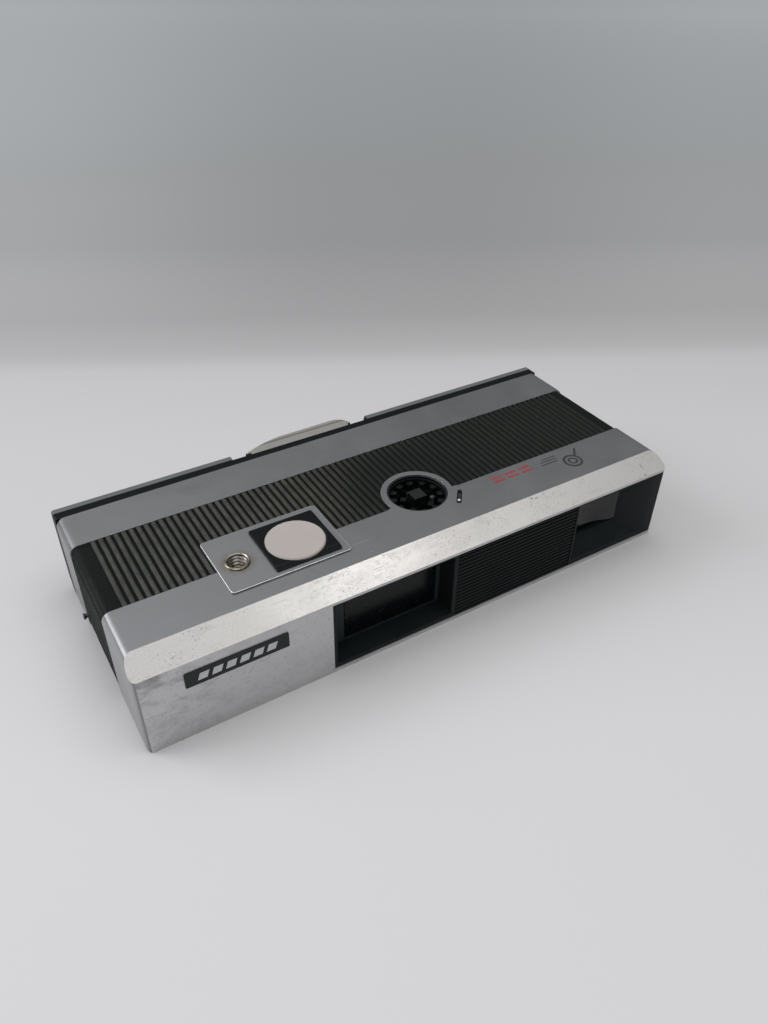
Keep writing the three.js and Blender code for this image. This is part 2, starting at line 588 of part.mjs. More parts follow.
function doorWindow() {
  const pane = DOOR_WINDOW;
  return join(
    block(pane.x0 - 0.9, pane.x1 + 0.9, FRAME_BACK + 0.8, DOOR_BACK - 0.1, pane.z0 - 0.9, pane.z1 + 0.9),
    block(pane.x0 + 0.1, pane.x1 - 0.1, FRAME_BACK + 0.15, FRAME_BACK + 0.9, pane.z0 + 0.1, pane.z1 - 0.1),
  );
}

function doorLatch() {
  const knob = block(LATCH.x0, LATCH.x1, DOOR_BACK + 0.1, DOOR_BACK + 1.1, LATCH.z0, LATCH.z1);
  const stem = block(LATCH.x0 + 3.6, LATCH.x1 - 3.5, 52.4, DOOR_BACK + 0.5, LATCH.z0 + 1.1, LATCH.z1 - 1.1);
  const grooves = [0, 1, 2, 3, 4].map((i) =>
    block(LATCH.x0 + 2.2 + i * 1.9, LATCH.x0 + 3.0 + i * 1.9, DOOR_BACK + 0.75, 60,
      LATCH.z0 - 1, LATCH.z1 + 1));
  return cut(join(knob, stem), ...grooves);
}

// Bent leaf on the inside of the back that holds the cartridge forward.
function pressureSpring(x) {
  const leaf = new THREE.Shape();
  const inner = FRAME_BACK - 0.1;
  leaf.moveTo(x - 7, inner);
  leaf.lineTo(x - 7, inner - 0.3);
  leaf.quadraticCurveTo(x, inner - 2.6, x + 7, inner - 0.3);
  leaf.lineTo(x + 7, inner);
  leaf.quadraticCurveTo(x, inner - 2.2, x - 7, inner);
  return push('z', leaf, 8, 13, 8);
}

function shutterPlate() {
  const room = SHUTTER_ROOM;
  const plate = block(room.x0 + 0.1, room.x1 - 0.4, SHUTTER_PLATE_FRONT,
    SHUTTER_PLATE_FRONT + SHUTTER_PLATE_THICK, room.z0 + 0.1, room.z1 - 0.1);
  const y0 = SHUTTER_PLATE_FRONT - 1;
  const peg = bar('y', BLADE_FRONT - 0.4, SHUTTER_PLATE_FRONT + 0.2, BLADE_PIVOT.x, BLADE_PIVOT.z,
    LEVER.pinRadius, 16);
  return join(cut(plate, bar('y', y0, y0 + 3, LENS.x, LENS.z, APERTURE_RADIUS, 24)), peg);
}

function shutterBlade() {
  const disc = bar('y', BLADE_FRONT, BLADE_FRONT + BLADE_THICK, LENS.x, LENS.z, BLADE_DISC, 24);
  const arm = block(LENS.x, BLADE_PIVOT.x, BLADE_FRONT, BLADE_FRONT + BLADE_THICK,
    LENS.z - 0.9, LENS.z + 0.9);
  const eye = bar('y', BLADE_FRONT, BLADE_FRONT + BLADE_THICK, BLADE_PIVOT.x, BLADE_PIVOT.z, 1.5, 24);
  const hole = bar('y', BLADE_FRONT - 1, BLADE_FRONT + 1, BLADE_PIVOT.x, BLADE_PIVOT.z,
    LEVER.pinRadius + PIVOT_FIT, 16);
  return cut(join(disc, arm, eye), hole).translate(-BLADE_PIVOT.x, 0, -BLADE_PIVOT.z);
}

// Bar that rocks when the button comes down on its end.
function releaseLever() {
  const side = LEVER.width / 2;
  const arm = block(RELEASE.x - LEVER.x - side, 2.4, -side, side, -LEVER.thick / 2, LEVER.thick / 2);
  const eye = bar('y', -side, side, 0, 0, LEVER.pinRadius + 0.5, 24);
  const pad = bar('z', 0, LEVER.thick, RELEASE.x - LEVER.x, 0, 1.2, 20);
  return cut(join(arm, eye, pad), bar('y', -2, 2, 0, 0, LEVER.pinRadius + PIVOT_FIT, 16));
}

function releaseButton() {
  const top = HEIGHT + 1.1;
  return join(
    lathe([[0, 0], [RELEASE.radius - 0.1, 0], [RELEASE.radius, 0.1], [RELEASE.radius, 1.5],
      [RELEASE.radius - 0.25, 1.75], [0, 1.75]], 32).translate(0, 0, top - 1.75),
    bar('z', 19.4, top - 1.2, 0, 0, 1.5, 20),
  );
}

function releaseSpring() {
  const { turns, radius, bottom } = SPRING;
  const high = HEIGHT - 1.15;
  class Helix extends THREE.Curve {
    getPoint(t) {
      const angle = t * turns * 2 * Math.PI;
      const z = bottom + t * (high - bottom);
      return new THREE.Vector3(radius * Math.cos(angle), radius * Math.sin(angle), z);
    }
  }
  const wire = new THREE.Shape();
  wire.absarc(0, 0, SPRING.wire, 0, 2 * Math.PI, false);
  return new THREE.ExtrudeGeometry(wire, {
    steps: turns * 10, extrudePath: new Helix(), bevelEnabled: false, curveSegments: 3,
  });
}

function flashWell() {
  const r = SOCKET.mouthRadius;
  const outer = r + 0.7;
  const top = HEIGHT - 0.15;
  const floor = SOCKET.floor;
  return lathe([
    [1.7, floor - 1], [outer, floor - 1], [outer, HEIGHT - WALL - 0.1], [r - 0.12, HEIGHT - WALL - 0.1],
    [r - 0.12, top], [r - 0.5, top], [r - 0.5, floor], [1.7, floor],
  ], 36);
}

// Turning part of the socket: castellated rim round a square post.
function flashHub() {
  const base = SOCKET.floor + 0.3;
  const { ringTop, postTop, post: side, keyTop } = HUB;
  const ring = lathe([[4.9, base], [6.2, base], [6.2, ringTop], [4.9, ringTop]], 36);
  const notches = [];
  for (let i = 0; i < HUB.teeth; i += 1) {
    const angle = (i / HUB.teeth) * 2 * Math.PI;
    const notch = block(4.5, 7, -0.75, 0.75, ringTop - HUB.notch, ringTop + 1);
    notches.push(notch.rotateZ(angle));
  }
  const disc = bar('z', base, base + 1.2, 0, 0, 6.0, 36);
  const stem = bar('z', SOCKET.floor - 1, base + 0.4, 0, 0, 1.6, 16);
  const post = block(-side / 2, side / 2, -side / 2, side / 2, base + 0.6, postTop);
  const keys = [0, 1, 2, 3].map((i) =>
    block(2.6, 3.9, -0.7, 0.7, base + 0.6, keyTop).rotateZ(Math.PI / 4 + (i * Math.PI) / 2));
  return join(cut(ring, ...notches), disc, stem, post, ...keys);
}

function flashSensorPin() {
  const blade = sensorSlot(-0.22, HEIGHT - 1.6, HEIGHT - SENSOR.sunk).translate(-SENSOR.x, -SENSOR.y, 0);
  const end = SENSOR.length / 2 - 0.75;
  const tip = bar('z', HEIGHT - 1.6, HEIGHT + 0.35, 0, 0, 0.36, 12)
    .translate(-end * Math.cos(SENSOR.angle), -end * Math.sin(SENSOR.angle), 0);
  return join(blade, tip, bar('z', 16.5, HEIGHT - 1.4, 0, 0, 0.5, 12));
}

function cableBush() {
  const top = HEIGHT + PLATE.thick + 0.5;
  const { flangeRadius, bodyRadius, holeRadius, bottom } = CABLE_BUSH;
  return lathe([
    [holeRadius, bottom], [bodyRadius, bottom], [bodyRadius, top - 0.45], [flangeRadius, top - 0.45],
    [flangeRadius, top - 0.2], [flangeRadius - 0.25, top], [holeRadius + 0.3, top], [holeRadius, top - 0.3],
  ], 20);
}

function releasePlate() {
  const z0 = HEIGHT + 0.05;
  const outline = roundedRect(PLATE.x0, PLATE.x1, PLATE.y0, PLATE.y1, PLATE.corner);
  return cut(
    push('z', outline, z0, HEIGHT + PLATE.thick),
    releaseHole(RELEASE.radius + 0.2, z0 - 1, z0 + 2),
    bushHole(CABLE_BUSH.bodyRadius + 0.1, z0 - 1, z0 + 2),
  );
}

function releaseSurround() {
  const z0 = HEIGHT + PLATE.thick + 0.02;
  const { x0, x1, y0, y1, thick } = SURROUND;
  return cut(
    push('z', roundedRect(x0, x1, y0, y1, 0.3), z0, z0 + thick),
    releaseHole(RELEASE.radius + 0.2, z0 - 1, z0 + 2),
  );
}

// Lens parts turn about Y. The profile is (radius, distance back from the front plate).
function turnedAboutLens(points, sides = 28) {
  return lathe(points, sides).rotateX(-Math.PI / 2);
}

function lensBarrel() {
  const { barrelRadius, boreRadius, flangeRadius } = LENS;
  const { front, back, depth } = BARREL_STOP;
  return turnedAboutLens([
    [boreRadius, BARREL_FRONT], [barrelRadius, BARREL_FRONT], [barrelRadius, BARREL_BACK - 1],
    [flangeRadius, BARREL_BACK - 1], [flangeRadius, BARREL_BACK], [boreRadius, BARREL_BACK],
    [boreRadius, back], [boreRadius - depth, back], [boreRadius - depth, front], [boreRadius, front],
  ]);
}

function lensElement(front, back, bulge) {
  const radius = LENS.boreRadius - 0.06;
  const outline = [[0, front - bulge], [radius * 0.5, front - bulge * 0.75], [radius, front]];
  return turnedAboutLens([...outline, [radius, back], [0, back]]);
}

function viewPane(front, back, width, height) {
  const outline = roundedRect(-width / 2, width / 2, -height / 2, height / 2, 0.5);
  return push('y', outline, front, back, 3);
}

// Thick front lens of the viewfinder: hollowed in front, with a boss through the back of the bay.
function viewFrontLens() {
  const { x0, x1, z0, z1, front, back, hollow } = VIEW_LENS;
  const half = (x1 - x0) / 2;
  const radius = (half ** 2 + hollow ** 2) / (2 * hollow);
  const slab = push('y', roundedRect(x0, x1, z0, z1, 0.6), front, back, 3);
  const scoop = bar('z', 0, HEIGHT, (x0 + x1) / 2, front + hollow - radius, radius, 144);
  const boss = viewPane(VIEW_PANE.front, VIEW_PANE.back, VIEW_PANE.width, VIEW_PANE.height)
    .translate(VIEW_AXIS.x, 0, VIEW_AXIS.z);
  return join(cut(slab, scoop), boss);
}

function viewTunnel() {
  const { front, back, wall, mouth: mouthDepth } = VIEW_TUNNEL;
  const outer = [VIEW_PANE.width / 2 + wall, VIEW_PANE.height / 2 + wall];
  const inner = [EYEPIECE.width / 2, EYEPIECE.height / 2];
  const tube = block(-outer[0], outer[0], front, back, -outer[1], outer[1]);
  const passage = block(-inner[0], inner[0], front - 1, back + 1, -inner[1], inner[1]);
  const mouth = block(-outer[0] + 1, outer[0] - 1, front - 1, front + mouthDepth,
    -outer[1] + 1, outer[1] - 1);
  return cut(tube, passage, mouth);
}

function screw() {
  const { headRadius, shankRadius, length, cross } = SCREW;
  const whole = lathe([
    [0, 0.05], [headRadius - 0.2, 0.05], [headRadius, 0.25], [headRadius, 0.7],
    [shankRadius, 0.7], [shankRadius, length], [0, length],
  ], 16);
  return cut(whole, block(-cross, cross, -0.2, 0.2, -1, 0.35), block(-0.2, 0.2, -cross, cross, -1, 0.35));
}

// Place everything ---------------------------------------------------------------------------------

const viewCentre = [VIEW_AXIS.x, 0, VIEW_AXIS.z];
const lensCentre = [LENS.x, 0, LENS.z];

place('chassis', chassis(), BLACK());
place('film_chamber', filmChamber(), BLACK());
place('tripod_block', tripodBlock(), BLACK());
place('viewfinder_housing', viewfinderHousing(), BLACK());
place('rear_frame', rearFrame(), BLACK());
place('front_cover', frontCover(), SATIN());
place('rear_cover', rearCover(), SATIN());
place('ribbed_cover', ribbedCover(), RIBBED());
place('bottom_cover', bottomCover(), BLACK());
place('lens_bezel', lensBezel(), BLACK());
place('grille_frame', grilleFrame(), BLACK());
place('viewfinder_bezel', viewfinderBezel(), BLACK());
place('grille_panel', grillePanel(), BLACK());
place('badge_plate', push('y', roundedRect(BADGE.x0, BADGE.x1, BADGE.z0, BADGE.z1, 0.25),
  BADGE.front, BADGE.back), BLACK());

place('release_plate', releasePlate(), SATIN());
place('release_surround', releaseSurround(), BLACK());
place('release_button', releaseButton(), material(0xb9b1ac, 0.45, 0), [RELEASE.x, RELEASE.y, 0]);
place('release_spring', releaseSpring(), STEEL(), [RELEASE.x, RELEASE.y, 0]);
place('release_lever', releaseLever(), STEEL(), [LEVER.x, LEVER.y, LEVER.z]);
place('lever_pin', bar('y', -5.3, 5.3, 0, 0, LEVER.pinRadius, 16), STEEL(), [LEVER.x, LEVER.y, LEVER.z]);
place('cable_release_bush', cableBush(), BRASS(), [CABLE_BUSH.x, CABLE_BUSH.y, 0]);

place('flash_well', flashWell(), BLACK(), [SOCKET.x, SOCKET.y, 0]);
place('flash_hub', flashHub(), BLACK(), [SOCKET.x, SOCKET.y, 0]);
place('flash_sensor_pin', flashSensorPin(), STEEL(), [SENSOR.x, SENSOR.y, 0]);

place('lens_window', block(LENS_WINDOW.x0, LENS_WINDOW.x1, LENS_BAY.depth + 0.1,
  LENS_BAY.depth + 0.1 + LENS_WINDOW.thick, LENS_WINDOW.z0, LENS_WINDOW.z1), clear(0x14171a));
place('lens_retaining_ring', turnedAboutLens([
  [3.0, BARREL_FRONT + 0.1], [LENS.boreRadius - 0.06, BARREL_FRONT + 0.1],
  [LENS.boreRadius - 0.06, BARREL_FRONT + 0.7], [3.0, BARREL_FRONT + 0.7],
]), BLACK(), lensCentre);
place('lens_front_element', lensElement(9.2, 10.3, 0.5), clear(0x9fb6c8), lensCentre);
place('lens_barrel', lensBarrel(), BLACK(), lensCentre);
place('lens_rear_element', lensElement(11.8, 13.2, 0.4), clear(0x9fb6c8), lensCentre);
place('shutter_plate', shutterPlate(), STEEL());
place('shutter_blade', shutterBlade(), STEEL(), [BLADE_PIVOT.x, 0, BLADE_PIVOT.z]);

place('viewfinder_front_lens', viewFrontLens(), clear(0xa9bac6));
place('viewfinder_tunnel', viewTunnel(), BLACK(), viewCentre);
place('viewfinder_eyepiece', viewPane(EYEPIECE.front, EYEPIECE.back, EYEPIECE.width, EYEPIECE.height),
  clear(0xa9bac6), viewCentre);

place('back_door', backDoor(), BLACK());
place('hinge_pin', bar('x', 3.4, LENGTH - 3.4, 0, 0, HINGE.pinRadius, 16), STEEL(), [0, HINGE.y, HINGE.z]);
place('door_window', doorWindow(), clear(0xcbd3d6));
place('door_latch', doorLatch(), BLACK());
place('pressure_spring_left', pressureSpring(CHAMBER.x0 + 13), STEEL());
place('pressure_spring_right', pressureSpring(CHAMBER.x1 - 13), STEEL());

place('advance_slide', advanceSlide(), material(0x9a9791, 0.5, 0.3));
place('advance_pinion', gear(PINION.teeth, PEG_RADIUS + PIVOT_FIT, GEAR_TOP - GEAR_BOTTOM),
  material(0xd9d5c8, 0.5, 0), [PINION.x, pinionY, GEAR_BOTTOM]);
place('film_drive_gear', join(
  gear(DRIVE_GEAR.teeth, 0, GEAR_TOP - GEAR_BOTTOM).rotateZ(meshTurn()),
  bar('z', FILM_KEY.top - GEAR_BOTTOM, 0.2, 0, 0, FILM_KEY.shaftRadius, 20),
  block(-FILM_KEY.width / 2, FILM_KEY.width / 2, -FILM_KEY.length / 2, FILM_KEY.length / 2,
    FILM_KEY.bottom - GEAR_BOTTOM, FILM_KEY.top + 0.2 - GEAR_BOTTOM),
), material(0xd9d5c8, 0.5, 0), [DRIVE_GEAR.x, driveGearY, GEAR_BOTTOM]);

place('tripod_bush', lathe([
  [TRIPOD_BUSH.holeRadius, 0.1], [TRIPOD_BUSH.radius, 0.1], [TRIPOD_BUSH.radius, TRIPOD_BUSH.depth],
  [TRIPOD_BUSH.holeRadius, TRIPOD_BUSH.depth],
], 28), BRASS(), [TRIPOD_BUSH.x, TRIPOD_BUSH.y, 0]);
SCREW_PLACES.forEach(([x, y], i) => place(`bottom_screw_${i + 1}`, screw(), STEEL(), [x, y, 0]));
place('strap_lug', lathe([
  [0, 0], [LUG.headRadius, 0], [LUG.headRadius, 0.4],
  [LUG.radius, 0.5], [LUG.radius, LUG.depth], [0, LUG.depth],
], 14).rotateY(Math.PI / 2), STEEL(), [-LUG.reach, LUG.y, LUG.z]);

const object = new THREE.Group();
camera.position.set(-(LENGTH - LUG.reach) / 2, -(SLIDE.back - 0.25) / 2, 0);
object.add(camera);

export default object;
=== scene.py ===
import json
import math

import bmesh
import bpy
from mathutils import Matrix, Vector


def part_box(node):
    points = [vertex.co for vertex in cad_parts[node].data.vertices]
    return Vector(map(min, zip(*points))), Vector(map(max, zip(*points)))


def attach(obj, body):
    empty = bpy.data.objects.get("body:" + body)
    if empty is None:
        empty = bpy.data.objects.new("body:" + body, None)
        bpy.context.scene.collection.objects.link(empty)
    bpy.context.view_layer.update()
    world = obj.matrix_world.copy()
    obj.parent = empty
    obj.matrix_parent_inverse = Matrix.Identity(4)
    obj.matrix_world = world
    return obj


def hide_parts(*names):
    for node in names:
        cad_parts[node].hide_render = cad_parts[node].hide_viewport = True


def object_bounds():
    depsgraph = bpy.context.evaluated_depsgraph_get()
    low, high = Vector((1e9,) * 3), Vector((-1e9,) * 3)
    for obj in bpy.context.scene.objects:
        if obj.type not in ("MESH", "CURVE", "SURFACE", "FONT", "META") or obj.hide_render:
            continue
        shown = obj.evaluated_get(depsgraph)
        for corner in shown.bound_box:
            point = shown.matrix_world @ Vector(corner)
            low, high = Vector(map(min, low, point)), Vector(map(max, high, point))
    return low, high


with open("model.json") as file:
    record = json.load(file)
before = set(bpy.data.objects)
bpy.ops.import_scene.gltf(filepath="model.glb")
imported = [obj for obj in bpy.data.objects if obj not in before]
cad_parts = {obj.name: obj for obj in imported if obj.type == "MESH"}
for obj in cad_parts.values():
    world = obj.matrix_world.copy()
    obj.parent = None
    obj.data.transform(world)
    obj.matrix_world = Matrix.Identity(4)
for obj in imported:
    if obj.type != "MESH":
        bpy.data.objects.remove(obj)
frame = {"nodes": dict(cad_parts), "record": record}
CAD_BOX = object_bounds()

MM = 0.001
LOW, HIGH = CAD_BOX
COVER_LOW, COVER_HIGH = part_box("front_cover")
TOP = COVER_HIGH.z
LENGTH = COVER_HIGH.x - COVER_LOW.x
BODY_OF = {n: b for b, names in frame["record"]["behaviour"]["bodies"].items() for n in names}
SLOT_OF = {s["node"]: s["material_slot"] for s in frame["record"]["subparts"]}

# ------------------------------------------------------------------------------------------------
# Camera, floor and light
# ------------------------------------------------------------------------------------------------

# The camera's own axes, fitted to the object's straight edges in the photograph
AIM_RIGHT = Vector((0.85391, -0.52028, 0.01168))
AIM_UP = Vector((0.31038, 0.52717, 0.79105))
AIM_BACK = Vector((-0.41773, -0.67186, 0.61164))
FOCAL_LENGTH = 28.94
SENSOR_WIDTH = 36


def at(x, y, z=0.0):
    """A place given in millimetres from the badge end, the front plate and the resting face."""
    return Vector((COVER_LOW.x + x * MM, COVER_LOW.y + y * MM, z * MM))


EYE = at(-13.11, -105.79, 135.06)


def make_camera():
    data = bpy.data.cameras.new("camera")
    data.sensor_width = SENSOR_WIDTH
    data.lens = FOCAL_LENGTH
    camera = bpy.data.objects.new("camera", data)
    turn = Matrix((AIM_RIGHT, AIM_UP, AIM_BACK)).transposed().to_4x4()
    camera.matrix_world = Matrix.Translation(EYE) @ turn
    data.clip_start = 0.01
    data.clip_end = 20
    bpy.context.scene.collection.objects.link(camera)
    bpy.context.scene.camera = camera


make_camera()
bpy.context.scene.view_settings.view_transform = "Standard"


# The flash socket's middle in millimetres, and the places of the cable-release bush and the socket
SOCKET_X = 73.7
SOCKET_Y = 19.5
BUSH = at(28.4, 17.5)
SOCKET = at(SOCKET_X, SOCKET_Y)


# ------------------------------------------------------------------------------------------------
# Node helpers. All patterns are in the object's own coordinates, in metres.
# ------------------------------------------------------------------------------------------------

class Nodes:
    """Builds one material's node tree."""

    def __init__(self, name, **uniform):
        self.material = bpy.data.materials.new(name)
        self.material.use_nodes = True
        self.tree = self.material.node_tree
        self.bsdf = self.tree.nodes["Principled BSDF"]
        self.place = self.tree.nodes.new("ShaderNodeTexCoord").outputs["Object"]
        for socket, value in uniform.items():
            self.bsdf.inputs[socket.replace("_", " ")].default_value = value

    def link(self, output, target):
        self.tree.links.new(output, target)

    def socket(self, value, target):
        if isinstance(value, bpy.types.NodeSocket):
            self.link(value, target)
        else:
            target.default_value = value

    def math(self, operation, a, b=0.0, clamp=False):
        node = self.tree.nodes.new("ShaderNodeMath")
        node.operation = operation
        node.use_clamp = clamp
        self.socket(a, node.inputs[0])
        self.socket(b, node.inputs[1])
        return node.outputs[0]

    def stretch(self, scale, turn=0.0):
        node = self.tree.nodes.new("ShaderNodeMapping")
        node.inputs["Scale"].default_value = scale
        node.inputs["Rotation"].default_value = (0, 0, math.radians(turn))
        self.link(self.place, node.inputs["Vector"])
        return node.outputs[0]

    def noise(self, scale, detail=3.0, roughness=0.55, distortion=0.0, stretch=None, turn=0.0):
        node = self.tree.nodes.new("ShaderNodeTexNoise")
        node.inputs["Scale"].default_value = scale
        node.inputs["Detail"].default_value = detail
        node.inputs["Roughness"].default_value = roughness
        node.inputs["Distortion"].default_value = distortion
        self.link(self.stretch(stretch, turn) if stretch else self.place, node.inputs["Vector"])
        return node.outputs["Fac"]

    def streaks(self, turn, share):
        """Hairline scratches along one direction, share of the surface from 0 to 1."""
        line = self.noise(900, 2, 0.5, 0.2, (0.03, 2.4, 0.03), turn)
        gaps = self.noise(90, 3, 0.6)
        low = 0.72 - 0.1 * share
        return self.math("MULTIPLY", self.span(line, low, low + 0.05), self.span(gaps, 0.5, 0.62))

    def far(self, point):
        """Distance from a point, in metres."""
        node = self.tree.nodes.new("ShaderNodeVectorMath")
        node.operation = "DISTANCE"
        self.link(self.place, node.inputs[0])
        node.inputs[1].default_value = tuple(point)
        return node.outputs["Value"]

    def span(self, value, low, high, to_low=0.0, to_high=1.0):
        node = self.tree.nodes.new("ShaderNodeMapRange")
        node.interpolation_type = "SMOOTHSTEP"
        self.socket(value, node.inputs["Value"])
        for name, number in (("From Min", low), ("From Max", high), ("To Min", to_low), ("To Max", to_high)):
            node.inputs[name].default_value = number
        return node.outputs["Result"]

    def axis(self, letter):
        node = self.tree.nodes.new("ShaderNodeSeparateXYZ")
        self.link(self.place, node.inputs[0])
        return node.outputs[letter]

    def mix(self, factor, a, b):
        node = self.tree.nodes.new("ShaderNodeMix")
        node.data_type = "RGBA"
        self.socket(factor, node.inputs["Factor"])
        for value, target in ((a, node.inputs[6]), (b, node.inputs[7])):
            if isinstance(value, bpy.types.NodeSocket):
                self.link(value, target)
            else:
                target.default_value = (*value, 1)
        return node.outputs[2]

    def paint(self, color=None, rough=None, height=None, depth=0.00002, strength=1.0):
        if color is not None:
            self.link(color, self.bsdf.inputs["Base Color"])
        if rough is not None:
            self.link(rough, self.bsdf.inputs["Roughness"])
        if height is not None:
            bump = self.tree.nodes.new("ShaderNodeBump")
            bump.inputs["Strength"].default_value = strength
            bump.inputs["Distance"].default_value = depth
            self.link(height, bump.inputs["Height"])
            self.link(bump.outputs["Normal"], self.bsdf.inputs["Normal"])
        return self.material


# ------------------------------------------------------------------------------------------------
# Materials
# ------------------------------------------------------------------------------------------------

def satin_silver(name="satin_silver", tone=1.0, dirt=0.3, stain=None):
    """Anodised sheet: fine grain, soft smudges, a few specks and hairline scratches."""
    n = Nodes(name, Metallic=0.80)
    grain = n.noise(3200, 3, 0.65)
    cloud = n.noise(60, 5, 0.62, 0.6)
    smudge = n.span(n.noise(150, 6, 0.7, 1.2), 0.56, 0.74)
    speck = n.span(n.noise(1500, 2, 0.5), 0.71, 0.77)
    pale = n.span(n.noise(1150, 2, 0.5, stretch=(1, 1.2, 1)), 0.755, 0.80)
    base = n.mix(cloud, (0.236 * tone, 0.239 * tone, 0.247 * tone),
                 (0.280 * tone, 0.283 * tone, 0.291 * tone))
    base = n.mix(n.math("MULTIPLY", smudge, dirt), base, (0.17 * tone, 0.17 * tone, 0.174 * tone))
    base = n.mix(n.math("MULTIPLY", speck, 0.5), base, (0.12, 0.12, 0.12))
    base = n.mix(n.math("MULTIPLY", pale, 0.6), base, (0.75, 0.75, 0.74))
    base = n.mix(n.math("MULTIPLY", n.streaks(12, 0.3), 0.30), base, (0.55, 0.55, 0.54))
    base = n.mix(n.math("MULTIPLY", n.streaks(-38, 0.2), 0.25), base, (0.14, 0.14, 0.14))
    if stain:
        centre, inner, outer = stain
        patchy = n.span(n.noise(700, 5, 0.7, 0.8), 0.35, 0.7, 0.3, 1.0)
        ring = n.math("MULTIPLY", n.span(n.far(centre), inner, outer, 0.75, 0.0), patchy)
        base = n.mix(ring, base, (0.20, 0.165, 0.115))
    rough = n.math("ADD", n.span(cloud, 0.3, 0.7, 0.27, 0.35), n.math("MULTIPLY", grain, 0.08))
    return n.paint(base, rough, grain, depth=0.000014, strength=0.4)


def worn_bright():
    """The polished bevel: pale, finely pitted and scratched, with a few grey patches, and painted paler round
    its most handled spot as a painted highlight.
    """
    n = Nodes("worn_bright", Metallic=0.7)
    grain = n.noise(3600, 4, 0.7)
    cloud = n.noise(95, 6, 0.7, 0.8, stretch=(0.5, 1, 1))
    patch = n.span(n.noise(230, 6, 0.72, 1.5, stretch=(0.6, 1.2, 1.2)), 0.62, 0.76)
    cluster = n.span(n.noise(120, 3, 0.6), 0.44, 0.64, 0.12, 1.0)
    pits = n.math("MULTIPLY", n.span(n.noise(2300, 2, 0.5), 0.61, 0.68), cluster)
    specks = n.math("MULTIPLY", n.span(n.noise(1150, 2, 0.5, stretch=(1.3, 1, 1)), 0.665, 0.72), cluster)
    mottle = n.span(n.noise(1500, 6, 0.8, 0.9, stretch=(0.5, 1, 1)), 0.46, 0.64)
    scuffs = n.span(n.noise(240, 8, 0.8, 0.5, stretch=(0.6, 1.1, 1.1)), 0.54, 0.70)
    # The most handled spot, about 46 mm from the badge end: it carries real scuffs and scratches, and also
    # the bevel's painted highlight.
    held_wear_and_highlight = n.span(n.far(at(46, 2, 21)), 0.004, 0.025, 1.0, 0.12)
    base = n.mix(cloud, (0.46, 0.446, 0.430), (0.55, 0.534, 0.517))
    base = n.mix(n.span(grain, 0.35, 0.65, 0.0, 0.35), base, (0.68, 0.663, 0.645))
    # Painted highlight: the bevel is made paler round the handled spot.
    base = n.mix(n.math("MULTIPLY", held_wear_and_highlight, 0.6), base, (0.82, 0.80, 0.78))
    base = n.mix(n.math("MULTIPLY", mottle, n.math("MULTIPLY", held_wear_and_highlight, 0.42)), base, (0.36, 0.345, 0.33))
    base = n.mix(n.math("MULTIPLY", scuffs, n.math("ADD", n.math("MULTIPLY", held_wear_and_highlight, 0.35), 0.36)), base,
                 (0.30, 0.29, 0.28))
    base = n.mix(n.math("MULTIPLY", patch, 0.40), base, (0.36, 0.35, 0.34))
    base = n.mix(n.math("MULTIPLY", pits, 0.65), base, (0.18, 0.17, 0.16))
    base = n.mix(n.math("MULTIPLY", specks, 0.8), base, (0.10, 0.09, 0.08))
    for turn, share, depth, color in ((4, 0.9, 0.6, (0.26, 0.25, 0.24)), (-55, 0.9, 0.7, (0.95, 0.94, 0.92)),
                                      (38, 0.9, 0.6, (0.25, 0.24, 0.23)), (78, 0.9, 0.7, (0.95, 0.94, 0.92))):
        scratch = n.math("MULTIPLY", n.streaks(turn, share), n.math("MULTIPLY", held_wear_and_highlight, depth))
        base = n.mix(scratch, base, color)
    rough = n.span(cloud, 0.3, 0.7, 0.30, 0.42)
    dents = n.math("SUBTRACT", grain, n.math("MULTIPLY", pits, 1.2))
    return n.paint(base, rough, dents, depth=0.00002, strength=0.5)


def front_silver():
    """The front plate: the same sheet, handled more, with dark smudges and scuffs, and painted shade along
    its bottom edge.
    """
    n = Nodes("front_silver", Metallic=0.72)
    grain = n.noise(3400, 3, 0.65)
    cloud = n.noise(75, 5, 0.65, 0.8)
    corner = n.math("MULTIPLY", n.span(n.axis("X"), COVER_LOW.x + 0.005, COVER_LOW.x + 0.022, 1.0, 0.0),
                    n.span(n.axis("Z"), 0.004, 0.015, 0.25, 1.0))
    smudge = n.span(n.noise(260, 8, 0.74, 0.45, stretch=(0.6, 1, 1.1)), 0.42, 0.72)
    handled = n.math("MULTIPLY", smudge, n.math("ADD", n.math("MULTIPLY", corner, 0.55), 0.16))
    speck = n.span(n.noise(1500, 3, 0.6), 0.58, 0.68)
    # Painted shade: the plate darkens within 3 mm of the resting face.
    rim = n.span(n.axis("Z"), 0.0002, 0.0030, 0.22, 0.0)
    base = n.mix(cloud, (0.515, 0.515, 0.522), (0.60, 0.60, 0.607))
    base = n.mix(n.span(grain, 0.3, 0.7, 0.0, 0.3), base, (0.70, 0.70, 0.705))
    for turn, share, depth in ((0, 0.5, 0.35), (50, 0.4, 0.3)):
        base = n.mix(n.math("MULTIPLY", n.streaks(turn, share), depth), base, (0.24, 0.24, 0.24))
    base = n.mix(handled, base, (0.16, 0.16, 0.165))
    base = n.mix(n.math("MULTIPLY", speck, 0.35), base, (0.25, 0.25, 0.25))
    base = n.mix(n.math("MULTIPLY", rim, cloud), base, (0.26, 0.255, 0.25))
    rough = n.math("ADD", n.span(cloud, 0.3, 0.7, 0.36, 0.46), n.math("MULTIPLY", handled, 0.2))
    return n.paint(base, rough, grain, depth=0.000016, strength=0.45)


def edge_silver():
    """Rubbed corners of the silver sheet."""
    n = Nodes("edge_silver", Metallic=0.6)
    rub = n.noise(620, 5, 0.72)
    base = n.mix(n.span(rub, 0.32, 0.55), (0.72, 0.71, 0.70), (0.95, 0.94, 0.92))
    return n.paint(base, n.span(rub, 0.3, 0.7, 0.20, 0.34), rub, depth=0.00001, strength=0.3)


